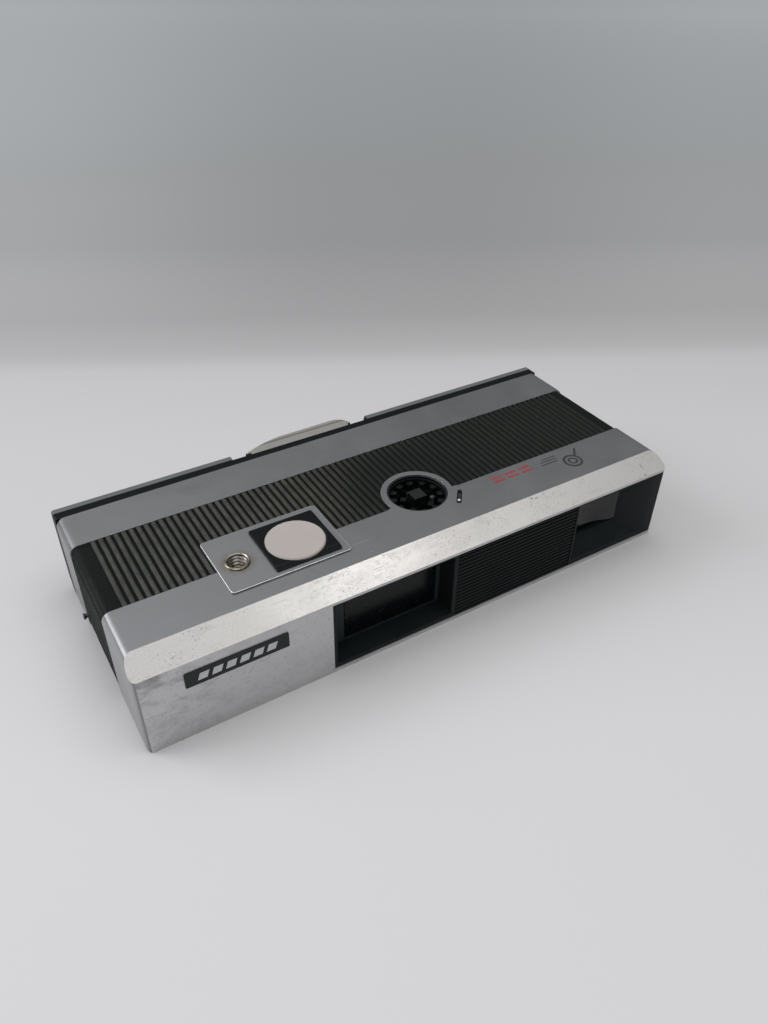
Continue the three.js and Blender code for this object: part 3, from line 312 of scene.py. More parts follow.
def dusty_highlit_ribs():
    """Black moulded ribs: dark grooves, pale olive crests that are part dust and part painted highlight,
    fading toward the far end as painted light, wiped round the flash socket.
    """
    n = Nodes("dusty_highlit_ribs", Metallic=0.0)
    n.bsdf.inputs["Specular IOR Level"].default_value = 0.11
    grain = n.noise(2600, 4, 0.7)
    cloud = n.noise(55, 5, 0.65, 0.5)
    rubbed = n.noise(900, 5, 0.75, 0.3, stretch=(1, 0.4, 1))
    side = 0.0004
    foot, peak = 0.00006, 0.00037
    above = n.span(n.math("SUBTRACT", n.axis("Z"), TOP - side), foot, peak)
    left = n.math("SUBTRACT", COVER_LOW.x + side, n.axis("X"))
    right = n.math("SUBTRACT", n.axis("X"), COVER_HIGH.x - side)
    ends = n.span(n.math("MAXIMUM", left, right), foot, peak, 0.0, 0.16)
    crest = n.math("MAXIMUM", above, ends)
    wiped = n.span(n.far(SOCKET + Vector((0.001, 0.004, TOP))), 0.009, 0.024, 0.25, 1.0)
    # Painted light: the pale crests fade from the badge end toward the far end.
    along = n.span(n.axis("X"), COVER_LOW.x * 0.5, COVER_HIGH.x * 0.5, 0.68, 0.13)
    crest_dust_and_highlight = n.math("MULTIPLY", crest, n.span(rubbed, 0.32, 0.62, 0.60, 1.15))
    crest_dust_and_highlight = n.math("MULTIPLY", crest_dust_and_highlight, n.math("MULTIPLY", wiped, along))
    crest_dust_and_highlight = n.math("MULTIPLY", crest_dust_and_highlight, n.span(cloud, 0.3, 0.7, 0.75, 1.0))
    base = n.mix(cloud, (0.0036, 0.0048, 0.0047), (0.0064, 0.0078, 0.0073))
    olive = n.mix(n.span(n.axis("X"), COVER_LOW.x * 0.8, 0.0), (0.084, 0.085, 0.077), (0.080, 0.080, 0.060))
    # Pale olive crests: part dust, part painted highlight.
    base = n.mix(crest_dust_and_highlight, base, olive)
    fleck = n.span(n.noise(1900, 2, 0.5), 0.73, 0.79)
    base = n.mix(n.math("MULTIPLY", fleck, 0.5), base, (0.26, 0.25, 0.21))
    return n.paint(base, n.span(cloud, 0.3, 0.7, 0.48, 0.62), grain, depth=0.00003, strength=0.5)


def moulded_black(name="moulded_black", tone=1.0, rough=(0.38, 0.52), dust=0.3, grain_scale=2600, gloss=0.14,
                  cool=1.0):
    """Black plastic with a fine mould grain, faint dust and finger marks. cool is how far it leans to
    blue-green."""
    n = Nodes(name, Metallic=0.0)
    n.bsdf.inputs["Specular IOR Level"].default_value = gloss
    grain = n.noise(grain_scale, 3, 0.6)
    cloud = n.noise(80, 5, 0.65, 0.8)
    fleck = n.span(n.noise(1500, 2, 0.5), 0.74, 0.79)
    film = n.span(n.noise(240, 6, 0.72, 1.0), 0.5, 0.75)
    low = tuple(tone * (0.0064 + cool * c) for c in (-0.0016, 0.0004, 0.0006))
    high = tuple(tone * (0.0104 + cool * c) for c in (-0.0019, 0.0006, 0.0008))
    base = n.mix(cloud, low, high)
    base = n.mix(n.math("MULTIPLY", film, dust * 0.3), base, (0.045, 0.048, 0.048))
    base = n.mix(n.math("MULTIPLY", fleck, dust), base, (0.20, 0.20, 0.19))
    roughness = n.math("ADD", n.span(cloud, 0.3, 0.7, *rough), n.math("MULTIPLY", film, 0.08))
    return n.paint(base, roughness, grain, depth=0.00002, strength=0.45)


def ribbed_grille():
    """Grille: black grooves, with the crests painted lighter as a painted highlight."""
    n = Nodes("ribbed_grille", Metallic=0.0)
    n.bsdf.inputs["Specular IOR Level"].default_value = 0.08
    grain = n.noise(2400, 3, 0.6)
    cloud = n.noise(80, 5, 0.65, 0.8)
    # Painted highlight: the rib crests nearest the front are made lighter than the grooves.
    crest = n.span(n.axis("Y"), COVER_LOW.y + 0.00037, COVER_LOW.y + 0.00058, 1.0, 0.0)
    dust = n.span(n.noise(1500, 2, 0.5), 0.74, 0.79)
    base = n.mix(cloud, (0.0010, 0.0016, 0.0017), (0.0018, 0.0026, 0.0027))
    base = n.mix(crest, base, (0.0135, 0.0175, 0.0175))
    base = n.mix(n.math("MULTIPLY", dust, 0.35), base, (0.15, 0.15, 0.15))
    return n.paint(base, n.span(cloud, 0.3, 0.7, 0.4, 0.55), grain, depth=0.00002, strength=0.4)


def button_white():
    """Off-white button, a little pink and grey from handling."""
    n = Nodes("button_white", Metallic=0.0)
    n.bsdf.inputs["Specular IOR Level"].default_value = 0.35
    cloud = n.noise(120, 5, 0.65, 0.8)
    grain = n.noise(2400, 3, 0.6)
    mark = n.span(n.noise(420, 6, 0.75, 1.5), 0.62, 0.78)
    base = n.mix(cloud, (0.335, 0.303, 0.286), (0.38, 0.345, 0.327))
    base = n.mix(n.math("MULTIPLY", mark, 0.25), base, (0.30, 0.27, 0.25))
    base = n.mix(n.math("MULTIPLY", n.streaks(25, 0.5), 0.3), base, (0.26, 0.24, 0.22))
    return n.paint(base, n.span(cloud, 0.3, 0.7, 0.45, 0.58), grain, depth=0.000015, strength=0.35)


def worn_nickel(name, warm=0.5, stain=0.5, tone=1.0):
    """Nickel over brass: bright on the crests, brown where it has worn and stained."""
    n = Nodes(name, Metallic=1.0)
    cloud = n.noise(420, 5, 0.7, 0.6)
    grain = n.noise(2600, 3, 0.6)
    base = n.mix(cloud, (0.50 * tone, 0.48 * tone, 0.43 * tone), (0.74 * tone, 0.71 * tone, 0.65 * tone))
    worn = n.math("MULTIPLY", n.span(n.noise(700, 5, 0.7, 1.0), 0.45, 0.62), stain)
    base = n.mix(worn, base, (0.26 * (1 + warm) * tone, 0.21 * (1 + warm * 0.6) * tone, 0.13 * tone))
    return n.paint(base, n.span(cloud, 0.3, 0.7, 0.2, 0.4), grain, depth=0.000012, strength=0.4)


def plain_steel(name="plain_steel", tone=1.0):
    """Rolled steel with a fine brushed direction and dull patches."""
    n = Nodes(name, Metallic=1.0)
    brush = n.noise(900, 4, 0.6, stretch=(0.15, 1, 1))
    cloud = n.noise(150, 4, 0.6)
    dull = n.span(n.noise(380, 6, 0.75, 1.0), 0.52, 0.7)
    base = n.mix(cloud, (0.42 * tone, 0.42 * tone, 0.41 * tone), (0.58 * tone, 0.575 * tone, 0.56 * tone))
    base = n.mix(n.math("MULTIPLY", dull, 0.4), base, (0.20 * tone, 0.19 * tone, 0.17 * tone))
    return n.paint(base, n.span(brush, 0.3, 0.7, 0.24, 0.42), brush, depth=0.000008, strength=0.4)


def slide_grey():
    """Thumb piece: warm grey satin, its top face painted paler as light falling on it, with a dark line near
    its rear edge as painted shade.
    """
    n = Nodes("slide_grey", Metallic=0.25)
    cloud = n.noise(130, 5, 0.65, 0.8)
    grain = n.noise(2200, 3, 0.6)
    # Painted light: this mask picks the top face, which is made paler.
    worn = n.span(n.axis("Z"), 0.0222, 0.0227, 0.0, 1.0)
    base = n.mix(cloud, (0.13, 0.118, 0.105), (0.18, 0.165, 0.15))
    top = n.mix(cloud, (0.235, 0.225, 0.212), (0.30, 0.29, 0.276))
    start, end, blur = COVER_LOW.y + 0.0560, COVER_LOW.y + 0.0570, 0.0003
    # Painted shade: a dark line along the top near its rear edge.
    painted_shade_line = n.math("MULTIPLY", n.span(n.axis("Y"), start, start + blur),
                   n.span(n.axis("Y"), end - blur, end, 1.0, 0.0))
    base = n.mix(worn, base, top)
    base = n.mix(n.math("MULTIPLY", painted_shade_line, n.math("MULTIPLY", worn, 0.7)), base, (0.10, 0.093, 0.085))
    base = n.mix(n.math("MULTIPLY", n.streaks(0, 0.6), 0.4), base, (0.42, 0.41, 0.39))
    return n.paint(base, n.span(cloud, 0.3, 0.7, 0.36, 0.5), grain, depth=0.000015, strength=0.35)


def nylon():
    """Milky gear plastic."""
    n = Nodes("gear_nylon", Metallic=0.0)
    cloud = n.noise(200, 4, 0.6)
    base = n.mix(cloud, (0.60, 0.57, 0.50), (0.70, 0.68, 0.61))
    grain = n.noise(1500, 3, 0.6)
    return n.paint(base, n.span(cloud, 0.3, 0.7, 0.4, 0.55), grain, depth=0.00001, strength=0.3)


def glass(name, tint, rough=0.04, weight=1.0, smear=0.06, shine=0.5, dust=0.12):
    """Clear or smoked plastic and glass, with a faint smear of dust over it."""
    n = Nodes(name, Metallic=0.0)
    n.bsdf.inputs["IOR"].default_value = 1.49
    n.bsdf.inputs["Specular IOR Level"].default_value = shine
    n.bsdf.inputs["Transmission Weight"].default_value = weight
    film = n.span(n.noise(300, 6, 0.72, 1.2), 0.45, 0.8)
    fleck = n.span(n.noise(1500, 2, 0.5), 0.76, 0.81)
    haze = tuple(0.6 * c + dust for c in tint)
    base = n.mix(n.math("MULTIPLY", film, smear), tint, haze)
    base = n.mix(n.math("MULTIPLY", fleck, 0.3), base, haze)
    waves = n.noise(260, 3, 0.5)
    return n.paint(base, n.span(film, 0.0, 1.0, rough, rough + 0.12), waves, depth=0.000006, strength=0.25)


def print_ink(name, color):
    """Thin worn ink."""
    n = Nodes(name, Metallic=0.0)
    n.bsdf.inputs["Specular IOR Level"].default_value = 0.25
    wear = n.noise(1400, 5, 0.7)
    base = n.mix(n.span(wear, 0.5, 0.75), color, tuple(0.7 * c + 0.05 for c in color))
    return n.paint(base, n.span(wear, 0.3, 0.7, 0.4, 0.6), wear, depth=0.000006, strength=0.3)


MATERIALS = {
    "silver": satin_silver(),
    # Paler copy of the satin sheet for the two end faces: painted light.
    "end_silver_painted_light": satin_silver("end_silver_painted_light", 1.45),
    "plate_silver": satin_silver("plate_silver", 1.04, 0.3, (BUSH + Vector((0, 0, TOP)), 0.0027, 0.0046)),
    "front": front_silver(),
    "bright": worn_bright(),
    "edge": edge_silver(),
    "ribs": dusty_highlit_ribs(),
    "grille": ribbed_grille(),
    "black": moulded_black("moulded_black", 0.6, (0.40, 0.54), 0.3, 2600, 0.11),
    "bay_black": moulded_black("bay_black", 1.6, (0.34, 0.48), 0.25, 2000, 0.12),
    # Painted light: a paler copy of the black for the lens bay's back.
    "bay_back_painted_light": moulded_black("bay_back_painted_light", 4.5, (0.34, 0.48), 0.2, 2000, 0.2),
    # Painted shade: a darker copy of the black for the viewfinder bay's side walls.
    "finder_wall_painted_shade": moulded_black("finder_wall_painted_shade", 0.5, (0.40, 0.54), 0.15, 2000, 0.05),
    "black_dusty": moulded_black("black_dusty", 1.6, (0.45, 0.6), 0.6, 2000),
    # Painted highlight: a paler, glossier copy of the black for rounded edges.
    "black_edge_painted_highlight": moulded_black("black_edge_painted_highlight", 2.4, (0.28, 0.38), 0.3, 1800, 0.3),
    # Painted highlight: a far paler copy of the black for the door's top lip.
    "lip_black_painted_highlight": moulded_black("lip_black_painted_highlight", 13.0, (0.34, 0.46), 0.4, 2000, 0.4, 0.25),
    "rim_grey_painted_highlight": moulded_black("rim_grey_painted_highlight", 1.8, (0.32, 0.44), 0.4, 2200, 0.3),
    # Painted light: a paler copy of the black for the post's top.
    "post_top_painted_light": moulded_black("post_top_painted_light", 1.5, (0.40, 0.55), 0.6, 2400, 0.2),
    # Painted shade: a darker copy of the black for the rest of the flash hub.
    "hub_black_painted_shade": moulded_black("hub_black_painted_shade", 0.42, (0.36, 0.5), 0.35, 2400, 0.2),
    "leaf_grey": moulded_black("leaf_grey", 6.0, (0.36, 0.5), 0.3, 2400, 0.4),
    "badge": moulded_black("badge_gloss", 0.9, (0.12, 0.22), 0.2, 1800, 0.3),
    "button": button_white(),
    "bush_nickel": worn_nickel("bush_nickel", 0.3, 0.85, 0.62),
    "brass": worn_nickel("worn_brass", 1.2, 0.8),
    "steel": plain_steel(),
    "dark_steel": plain_steel("dark_steel", 0.3),
    # Painted shade: a darkened copy of the steel for the blade in its slot.
    "blade_steel_painted_shade": plain_steel("blade_steel_painted_shade", 0.22),
    "slide": slide_grey(),
    "nylon": nylon(),
    "clear": glass("clear_glass", (0.86, 0.90, 0.92)),
    "smoked": glass("smoked_glass", (0.007, 0.012, 0.013), 0.22, 0.6, 0.05, 0.04, 0.02),
    "finder_glass": glass("finder_glass", (0.035, 0.050, 0.058), 0.03, 1.0, 0.10, 0.25, 0.03),
    "label_pane": glass("label_pane", (0.62, 0.65, 0.66), 0.1, 0.8, 0.2),
    "ink_red": print_ink("ink_red", (0.23, 0.042, 0.047)),
    "ink_dark": print_ink("ink_dark", (0.030, 0.032, 0.034)),
    "ink_pale": print_ink("ink_pale", (0.56, 0.57, 0.58)),
}


# ------------------------------------------------------------------------------------------------
# Mesh helpers
# ------------------------------------------------------------------------------------------------

def add_object(name, mesh, materials, body=None, replaces=(), slot=None, angle=32):
    """Puts a mesh in the scene with its materials, its body and the CAD nodes that it replaces."""
    obj = bpy.data.objects.new(name, mesh)
    bpy.context.scene.collection.objects.link(obj)
    mesh.materials.clear()
    for key in materials:
        mesh.materials.append(MATERIALS[key])
    smooth(mesh, angle)
    if body:
        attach(obj, body)
    if replaces:
        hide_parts(*replaces)
    return obj


def smooth(mesh, angle=32):
    """Smooth shading, with a hard edge wherever faces meet at more than angle degrees."""
    mesh.polygons.foreach_set("use_smooth", [True] * len(mesh.polygons))
    mesh.set_sharp_from_angle(angle=math.radians(angle))


def applied(obj):
    """The object's mesh with its modifiers made real."""
    graph = bpy.context.evaluated_depsgraph_get()
    mesh = bpy.data.meshes.new_from_object(obj.evaluated_get(graph))
    obj.modifiers.clear()
    obj.data = mesh
    return mesh


# Nodes whose flat faces have wide openings, so they are kept in convex pieces
OPEN_FACED = ("lens_bezel", "viewfinder_bezel", "back_door", "bottom_cover")


def cleaned_copy(node):
    """The CAD node's mesh, welded, with its flat faces joined up again."""
    bm = bmesh.new()
    bm.from_mesh(frame["nodes"][node].data)
    bmesh.ops.remove_doubles(bm, verts=bm.verts, dist=0.000002)
    bmesh.ops.dissolve_limit(bm, angle_limit=math.radians(0.6), verts=bm.verts, edges=bm.edges)
    if node in OPEN_FACED:
        bmesh.ops.connect_verts_concave(bm, faces=bm.faces)
    mesh = bpy.data.meshes.new(node + "_fine")
    bm.to_mesh(mesh)
    bm.free()
    return mesh


def rounded_edges(obj, width, segments, angle, edge_slot):
    """Rounds the sharp edges by width millimetres. edge_slot picks the material of the rounded part."""
    bevel = obj.modifiers.new("edges", "BEVEL")
    bevel.width = width * MM
    bevel.segments = segments
    bevel.limit_method = "ANGLE"
    bevel.angle_limit = math.radians(angle)
    bevel.use_clamp_overlap = True
    bevel.material = edge_slot
    bevel.miter_outer = "MITER_ARC"
    smooth(applied(obj), 40)
    weighted = obj.modifiers.new("normals", "WEIGHTED_NORMAL")
    weighted.keep_sharp = True
    applied(obj)


def refine(node, materials, width=0.12, segments=2, angle=28, edge_slot=-1, paint=None, name=None):
    """Stands in for a CAD node with the same shape and rounded edges. materials[0] covers it,
    edge_slot picks the one its rounded edges get, and paint(face) may pick one for a face."""
    obj = add_object(name or node + "_fine", cleaned_copy(node), materials)
    if paint:
        for face in obj.data.polygons:
            face.material_index = paint(face)
    rounded_edges(obj, width, segments, angle, edge_slot)
    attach(obj, BODY_OF[node])
    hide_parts(node)
    return obj


def keep(node, key):
    """Keeps the CAD node as it is, in a detailed material."""
    mesh = frame["nodes"][node].data
    mesh.materials.clear()
    mesh.materials.append(MATERIALS[key])


# Puts an outline's two numbers and its place along the axis in the order x, y, z
PUSHED = {"z": lambda u, v, w: (u, v, w), "y": lambda u, v, w: (u, w, v), "x": lambda u, v, w: (w, u, v)}


def prism(points, low, high, axis="z", name="prism"):
    """Closed solid over an outline in metres: x and y pushed along z, x and z along y, or y and z along x."""
    where = PUSHED[axis]
    bm = bmesh.new()
    base = bm.faces.new([bm.verts.new(where(u, v, low)) for u, v in points])
    top = bmesh.ops.extrude_face_region(bm, geom=[base])["geom"]
    push = Vector(where(0, 0, high - low))
    bmesh.ops.translate(bm, vec=push, verts=[v for v in top if isinstance(v, bmesh.types.BMVert)])
    bmesh.ops.recalc_face_normals(bm, faces=bm.faces)
    mesh = bpy.data.meshes.new(name)
    bm.to_mesh(mesh)
    bm.free()
    return mesh


def cut_away(obj, cutters):
    """Boolean cut of obj by throwaway meshes."""
    for mesh in cutters:
        tool = bpy.data.objects.new("tool", mesh)
        bpy.context.scene.collection.objects.link(tool)
        cut = obj.modifiers.new("cut", "BOOLEAN")
        cut.operation = "DIFFERENCE"
        cut.solver = "EXACT"
        cut.object = tool
        applied(obj)
        bpy.data.objects.remove(tool)


def turned(name, profile, centre, materials, body, replaces, slot, sides=64, angle=32):
    """Closed profile of (radius, height) turned about a vertical axis through centre."""
    bm = bmesh.new()
    rings = []
    for k in range(sides):
        a = 2 * math.pi * k / sides
        rings.append([bm.verts.new((centre.x + r * math.cos(a), centre.y + r * math.sin(a), z))
                      for r, z in profile])
    count = len(profile)
    for k in range(sides):
        here, there = rings[k], rings[(k + 1) % sides]
        for i in range(count):
            j = (i + 1) % count
            bm.faces.new((here[i], there[i], there[j], here[j]))
    bmesh.ops.remove_doubles(bm, verts=bm.verts, dist=1e-7)
    bmesh.ops.recalc_face_normals(bm, faces=bm.faces)
    mesh = bpy.data.meshes.new(name)
    bm.to_mesh(mesh)
    bm.free()
    return add_object(name, mesh, materials, body, replaces, slot, angle)


def middle(node):
    """Middle of a CAD node's box."""
    low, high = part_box(node)
    return (low + high) / 2


# ------------------------------------------------------------------------------------------------
# Silver covers
# ------------------------------------------------------------------------------------------------

BEVEL_NORMAL = Vector((0, -0.515, 0.857))
FRONT_ZONE = 0.003


def cover_paint(face):
    """0 satin sheet, 1 bright bevel, 2 handled front plate, 4 the two ends, in a paler copy of the sheet as
    painted light.
    """
    if face.normal.dot(BEVEL_NORMAL) > 0.97 and face.area > 1e-6:
        return 1
    if face.normal.y < -0.9 and face.center.y < COVER_LOW.y + FRONT_ZONE:
        return 2
    return 4 if abs(face.normal.x) > 0.7 else 0


refine("front_cover", ["silver", "bright", "front", "edge", "end_silver_painted_light"], 0.27, 3, 30, 3, cover_paint)
refine("rear_cover", ["silver", "edge"], 0.16, 2, 30, 1)
refine("release_plate", ["plate_silver", "edge"], 0.24, 3, 30, 1)


# ------------------------------------------------------------------------------------------------
# Ribbed band
# ------------------------------------------------------------------------------------------------

PITCH = 1.64
CORNER = 2.0
RIB_BACK = 39.65
RIB_FRONT = 17.2
RIB_FOOT = 0.9
GROOVE = 0.55
PLAIN = 0.40
BAND_THICK = 1.0
# Across one rib from groove to groove: share of the pitch, depth below the camera's outline
RIB_SHAPE = ((-0.43, GROOVE), (-0.37, 0.36), (-0.30, 0.19), (-0.21, 0.085), (-0.11, 0.035), (0.0, 0.02),
             (0.11, 0.035), (0.21, 0.085), (0.30, 0.19), (0.37, 0.36), (0.43, GROOVE))


def band_stations():
    """Points round the band in x and z, each with its outward direction and depth."""
    long = LENGTH / MM
    high = TOP / MM
    side_ribs = [CORNER + 1 + PITCH * i for i in range(int((high - 2 * CORNER) / PITCH))]
    count = int((long - 2 * CORNER) / PITCH)
    first = (long - (count - 1) * PITCH) / 2
    top_ribs = [first + PITCH * i for i in range(1, count - 1)]
    left = [(RIB_FOOT, GROOVE)]
    left += [(z + s * PITCH, d) for z in side_ribs for s, d in RIB_SHAPE]
    left += [(high - CORNER, PLAIN)]
    stations = [(0, z, (-1, 0), d) for z, d in left]
    for k in range(1, 8):
        a = math.pi - k * math.pi / 16
        stations.append((CORNER + CORNER * math.cos(a), high - CORNER + CORNER * math.sin(a),
                         (math.cos(a), math.sin(a)), PLAIN))
    stations.append((CORNER, high, (0, 1), PLAIN))
    stations += [(x + s * PITCH, high, (0, 1), d) for x in top_ribs for s, d in RIB_SHAPE]
    stations.append((long - CORNER, high, (0, 1), PLAIN))
    for k in range(7, 0, -1):
        a = k * math.pi / 16
        stations.append((long - CORNER + CORNER * math.cos(a), high - CORNER + CORNER * math.sin(a),
                         (math.cos(a), math.sin(a)), PLAIN))
    stations += [(long, z, (1, 0), d) for z, d in reversed(left)]
    return stations


def ring_outline(radius, fillet):
    """Round tab of the flash socket and the hollow curves that run it into the band's front edge."""
    foot_y = 15.0
    hollow_y = 18.55
    drop = SOCKET_Y - hollow_y
    reach = math.sqrt((radius + fillet) ** 2 - drop ** 2)
    lean = math.atan2(drop, reach)
    half = [(-reach, foot_y - SOCKET_Y)]
    for k in range(9):
        a = -math.pi / 2 + (lean + math.pi / 2) * k / 8
        half.append((-reach + fillet * math.cos(a), hollow_y - SOCKET_Y + fillet * math.sin(a)))
    for k in range(1, 24):
        a = math.pi + lean - (math.pi / 2 + lean) * k / 24
        half.append((radius * math.cos(a), radius * math.sin(a)))
    whole = half + [(0, radius)] + [(-x, y) for x, y in reversed(half)]
    return [(SOCKET_X + x, SOCKET_Y + y) for x, y in whole]


def rounded_outline(x0, x1, y0, y1, radius, steps=6):
    """Rectangle with round corners."""
    points = []
    for cx, cy, begin in ((x1 - radius, y0 + radius, -90), (x1 - radius, y1 - radius, 0),
                          (x0 + radius, y1 - radius, 90), (x0 + radius, y0 + radius, 180)):
        for k in range(steps + 1):
            a = math.radians(begin + 90 * k / steps)
            points.append((cx + radius * math.cos(a), cy + radius * math.sin(a)))
    return points


def placed(points):
    """Outline points in millimetres brought to the frame."""
    return [tuple(at(x, y))[:2] for x, y in points]


def make_band():
    """The ribbed strip, cut away round the flash socket's tab and the release plate."""
    bm = bmesh.new()
    rows = []
    for x, z, (nx, nz), depth in band_stations():
        outer = (x - nx * depth, z - nz * depth)
        inner = (x - nx * BAND_THICK, z - nz * BAND_THICK)
        rows.append([bm.verts.new(at(u, y, v)) for y in (RIB_FRONT, RIB_BACK) for u, v in (outer, inner)])
    for here, there in zip(rows, rows[1:]):
        for a, b in ((0, 1), (1, 3), (3, 2), (2, 0)):
            bm.faces.new((here[a], here[b], there[b], there[a]))
    for row in (rows[0], rows[-1]):
        bm.faces.new((row[0], row[1], row[3], row[2]))
    bmesh.ops.recalc_face_normals(bm, faces=bm.faces)
    mesh = bpy.data.meshes.new("ribbed_band")
    bm.to_mesh(mesh)
    bm.free()
    node = "ribbed_cover"
    band = add_object("ribbed_band", mesh, ["ribs"], BODY_OF[node], [node], SLOT_OF[node])
    plate = rounded_outline(23.65, 50.95, 12, 27.05, 0.9)
    below, above = 15 * MM, 30 * MM
    cut_away(band, [prism(placed(outline), below, above) for outline in (ring_outline(8.6, 1.35), plate)])
    smooth(band.data, 34)


make_band()


# ------------------------------------------------------------------------------------------------
# Release: surround with a sloped front, button, and the tapered threaded bush
# ------------------------------------------------------------------------------------------------

def threaded(name, node, outside, mouth, foot, pitch, depth, key, sides=72, steps=7):
    """Turned piece whose bore is a screw thread. outside is (radius, z) from the mouth's rim round to
    the foot's rim. mouth and foot are the bore's (radius, z) at its two ends."""
    centre = middle(node)
    turns = (mouth[1] - foot[1]) / pitch
    count = int(turns * steps)
    bm = bmesh.new()
    rings = []
    for k in range(sides):
        a = 2 * math.pi * k / sides
        profile = list(outside)
        for i in range(count + 1):
            share = i / count
            z = foot[1] + share * (mouth[1] - foot[1])
            radius = foot[0] + share * (mouth[0] - foot[0])
            phase = (z / pitch - k / sides) % 1.0
            fade = min(1.0, share * 12, (1 - share) * 12)
            profile.append((radius + depth * fade * (abs(2 * phase - 1) * 2 - 1), z))
        rings.append([bm.verts.new((centre.x + r * MM * math.cos(a), centre.y + r * MM * math.sin(a), z * MM))
                      for r, z in profile])
    for k in range(sides):
        here, there = rings[k], rings[(k + 1) % sides]
        for i in range(len(here)):
            j = (i + 1) % len(here)
            bm.faces.new((here[i], there[i], there[j], here[j]))
    bmesh.ops.recalc_face_normals(bm, faces=bm.faces)
    mesh = bpy.data.meshes.new(name)
    bm.to_mesh(mesh)
    bm.free()
    return add_object(name, mesh, [key], BODY_OF[node], [node], SLOT_OF[node], 30)


def make_surround():
    """Black square round the button: its front strip slopes away."""
    node = "release_surround"
    surround = add_object(node + "_sloped", cleaned_copy(node), ["black", "black_edge_painted_highlight"],
                          BODY_OF[node], [node], SLOT_OF[node])
    low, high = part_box(node)
    step = 1.25 * MM
    dip = 0.28 * MM
    front = [(low.y - MM, high.z - dip * 1.8), (low.y + step, high.z),
             (low.y + step, high.z + MM), (low.y - MM, high.z + MM)]
    cut_away(surround, [prism(front, low.x - MM, high.x + MM, "x")])
    rounded_edges(surround, 0.1, 2, 12, 1)


make_surround()
refine("release_button", ["button"], 0.09, 3, 50)
threaded("cable_bush_thread", "cable_release_bush",
         [(2.26, 24.06), (2.34, 24.12), (2.5, 24.12), (2.7, 23.92), (2.7, 23.7), (2.35, 23.7), (2.35, 17.2)],
         (2.12, 24.0), (1.3, 17.2), 0.78, 0.16, "bush_nickel")
threaded("tripod_bush_thread", "tripod_bush",
         [(3.45, 6.0), (5.0, 6.0), (5.0, 0.3), (4.8, 0.1), (3.4, 0.1)],
         (3.0, 6.0), (3.0, 0.25), 1.27, 0.28, "brass")


# ------------------------------------------------------------------------------------------------
# Flash socket
# ------------------------------------------------------------------------------------------------

def make_flash_well():
    """Stepped collar and the cup below it, with a paler copy of the collar's lip laid over it as a painted
    highlight.
    """
    node = "flash_well"
    centre = middle(node)
    steps = [(1.7, 12.0), (7.75, 12.0), (7.75, 22.3), (6.93, 22.4), (6.93, 23.0), (6.83, 23.1), (6.66, 23.1),
             (6.6, 22.95), (6.6, 22.5), (6.46, 22.42), (6.40, 22.3), (6.40, 13.0), (1.7, 13.0)]
    turned("flash_well_stepped", [(r * MM, z * MM) for r, z in steps], centre, ["black"], BODY_OF[node],
           [node], SLOT_OF[node], 96, 25)
    # Painted highlight: a paler copy of the collar's lip.
    collar = [(6.62, 22.9), (6.90, 22.9), (6.90, 23.06), (6.86, 23.12), (6.68, 23.12), (6.62, 23.06)]
    turned("flash_well_collar", [(r * MM, z * MM) for r, z in collar], centre, ["rim_grey_painted_highlight"], BODY_OF[node],
           [], SLOT_OF[node], 96, 25)


def hub_paint(face):
    """1 the top of the square post, painted paler as light falling on it; 0 everything else, painted darker
    as the shade in the socket.
    """
    post_top = 22.5 * MM
    return 1 if face.normal.z > 0.9 and face.center.z > post_top else 0


def make_hub_contacts():
    """Two dull contact leaves that stand beside the post."""
    node = "flash_hub"
    centre = middle(node)
    for number, (turn, reach) in enumerate(((93, 3.25), (-10, 3.9))):
        a = math.radians(turn)
        out = Vector((math.cos(a), math.sin(a), 0))
        side = Vector((-out.y, out.x, 0))
        outline = ((reach - 0.5, -0.5), (reach + 0.3, -0.4), (reach + 0.4, 0.4), (reach - 0.5, 0.5))
        corners = [centre + out * r * MM + side * s * MM for r, s in outline]
        leaf = prism([(c.x, c.y) for c in corners], 15 * MM, 21 * MM)
        add_object(f"flash_hub_leaf_{number + 1}", leaf, ["leaf_grey"], BODY_OF[node], [], SLOT_OF[node])


make_flash_well()
refine("flash_hub", ["hub_black_painted_shade", "post_top_painted_light"], 0.12, 2, 35, -1, hub_paint)
make_hub_contacts()


def sensor_paint(face):
    """1 the tip that stands above the cover, painted bright as a painted glint; 0 the blade, in a darkened
    steel as painted shade in its slot.
    """
    return 1 if face.center.z > TOP - 0.2 * MM else 0


refine("flash_sensor_pin", ["blade_steel_painted_shade", "edge"], 0.08, 2, 35, -1, sensor_paint)


# ------------------------------------------------------------------------------------------------
# Front: bays, grille, badge
# ------------------------------------------------------------------------------------------------

BEHIND_RIM = 1.4 * MM


def bay_paint(face):
    """1 the back of the bay, which faces forward behind the front rim, painted paler to make up for the
    little light it gets; 0 the rest.
    """
    return 1 if face.normal.y < -0.9 and face.center.y > COVER_LOW.y + BEHIND_RIM else 0


def finder_paint(face):
    """1 the side walls of the bay, painted darker than the floor as shade; 0 its floor, its back and the rim
    at the front.
    """
    return 1 if face.center.y > COVER_LOW.y + BEHIND_RIM and abs(face.normal.x) > 0.6 else 0


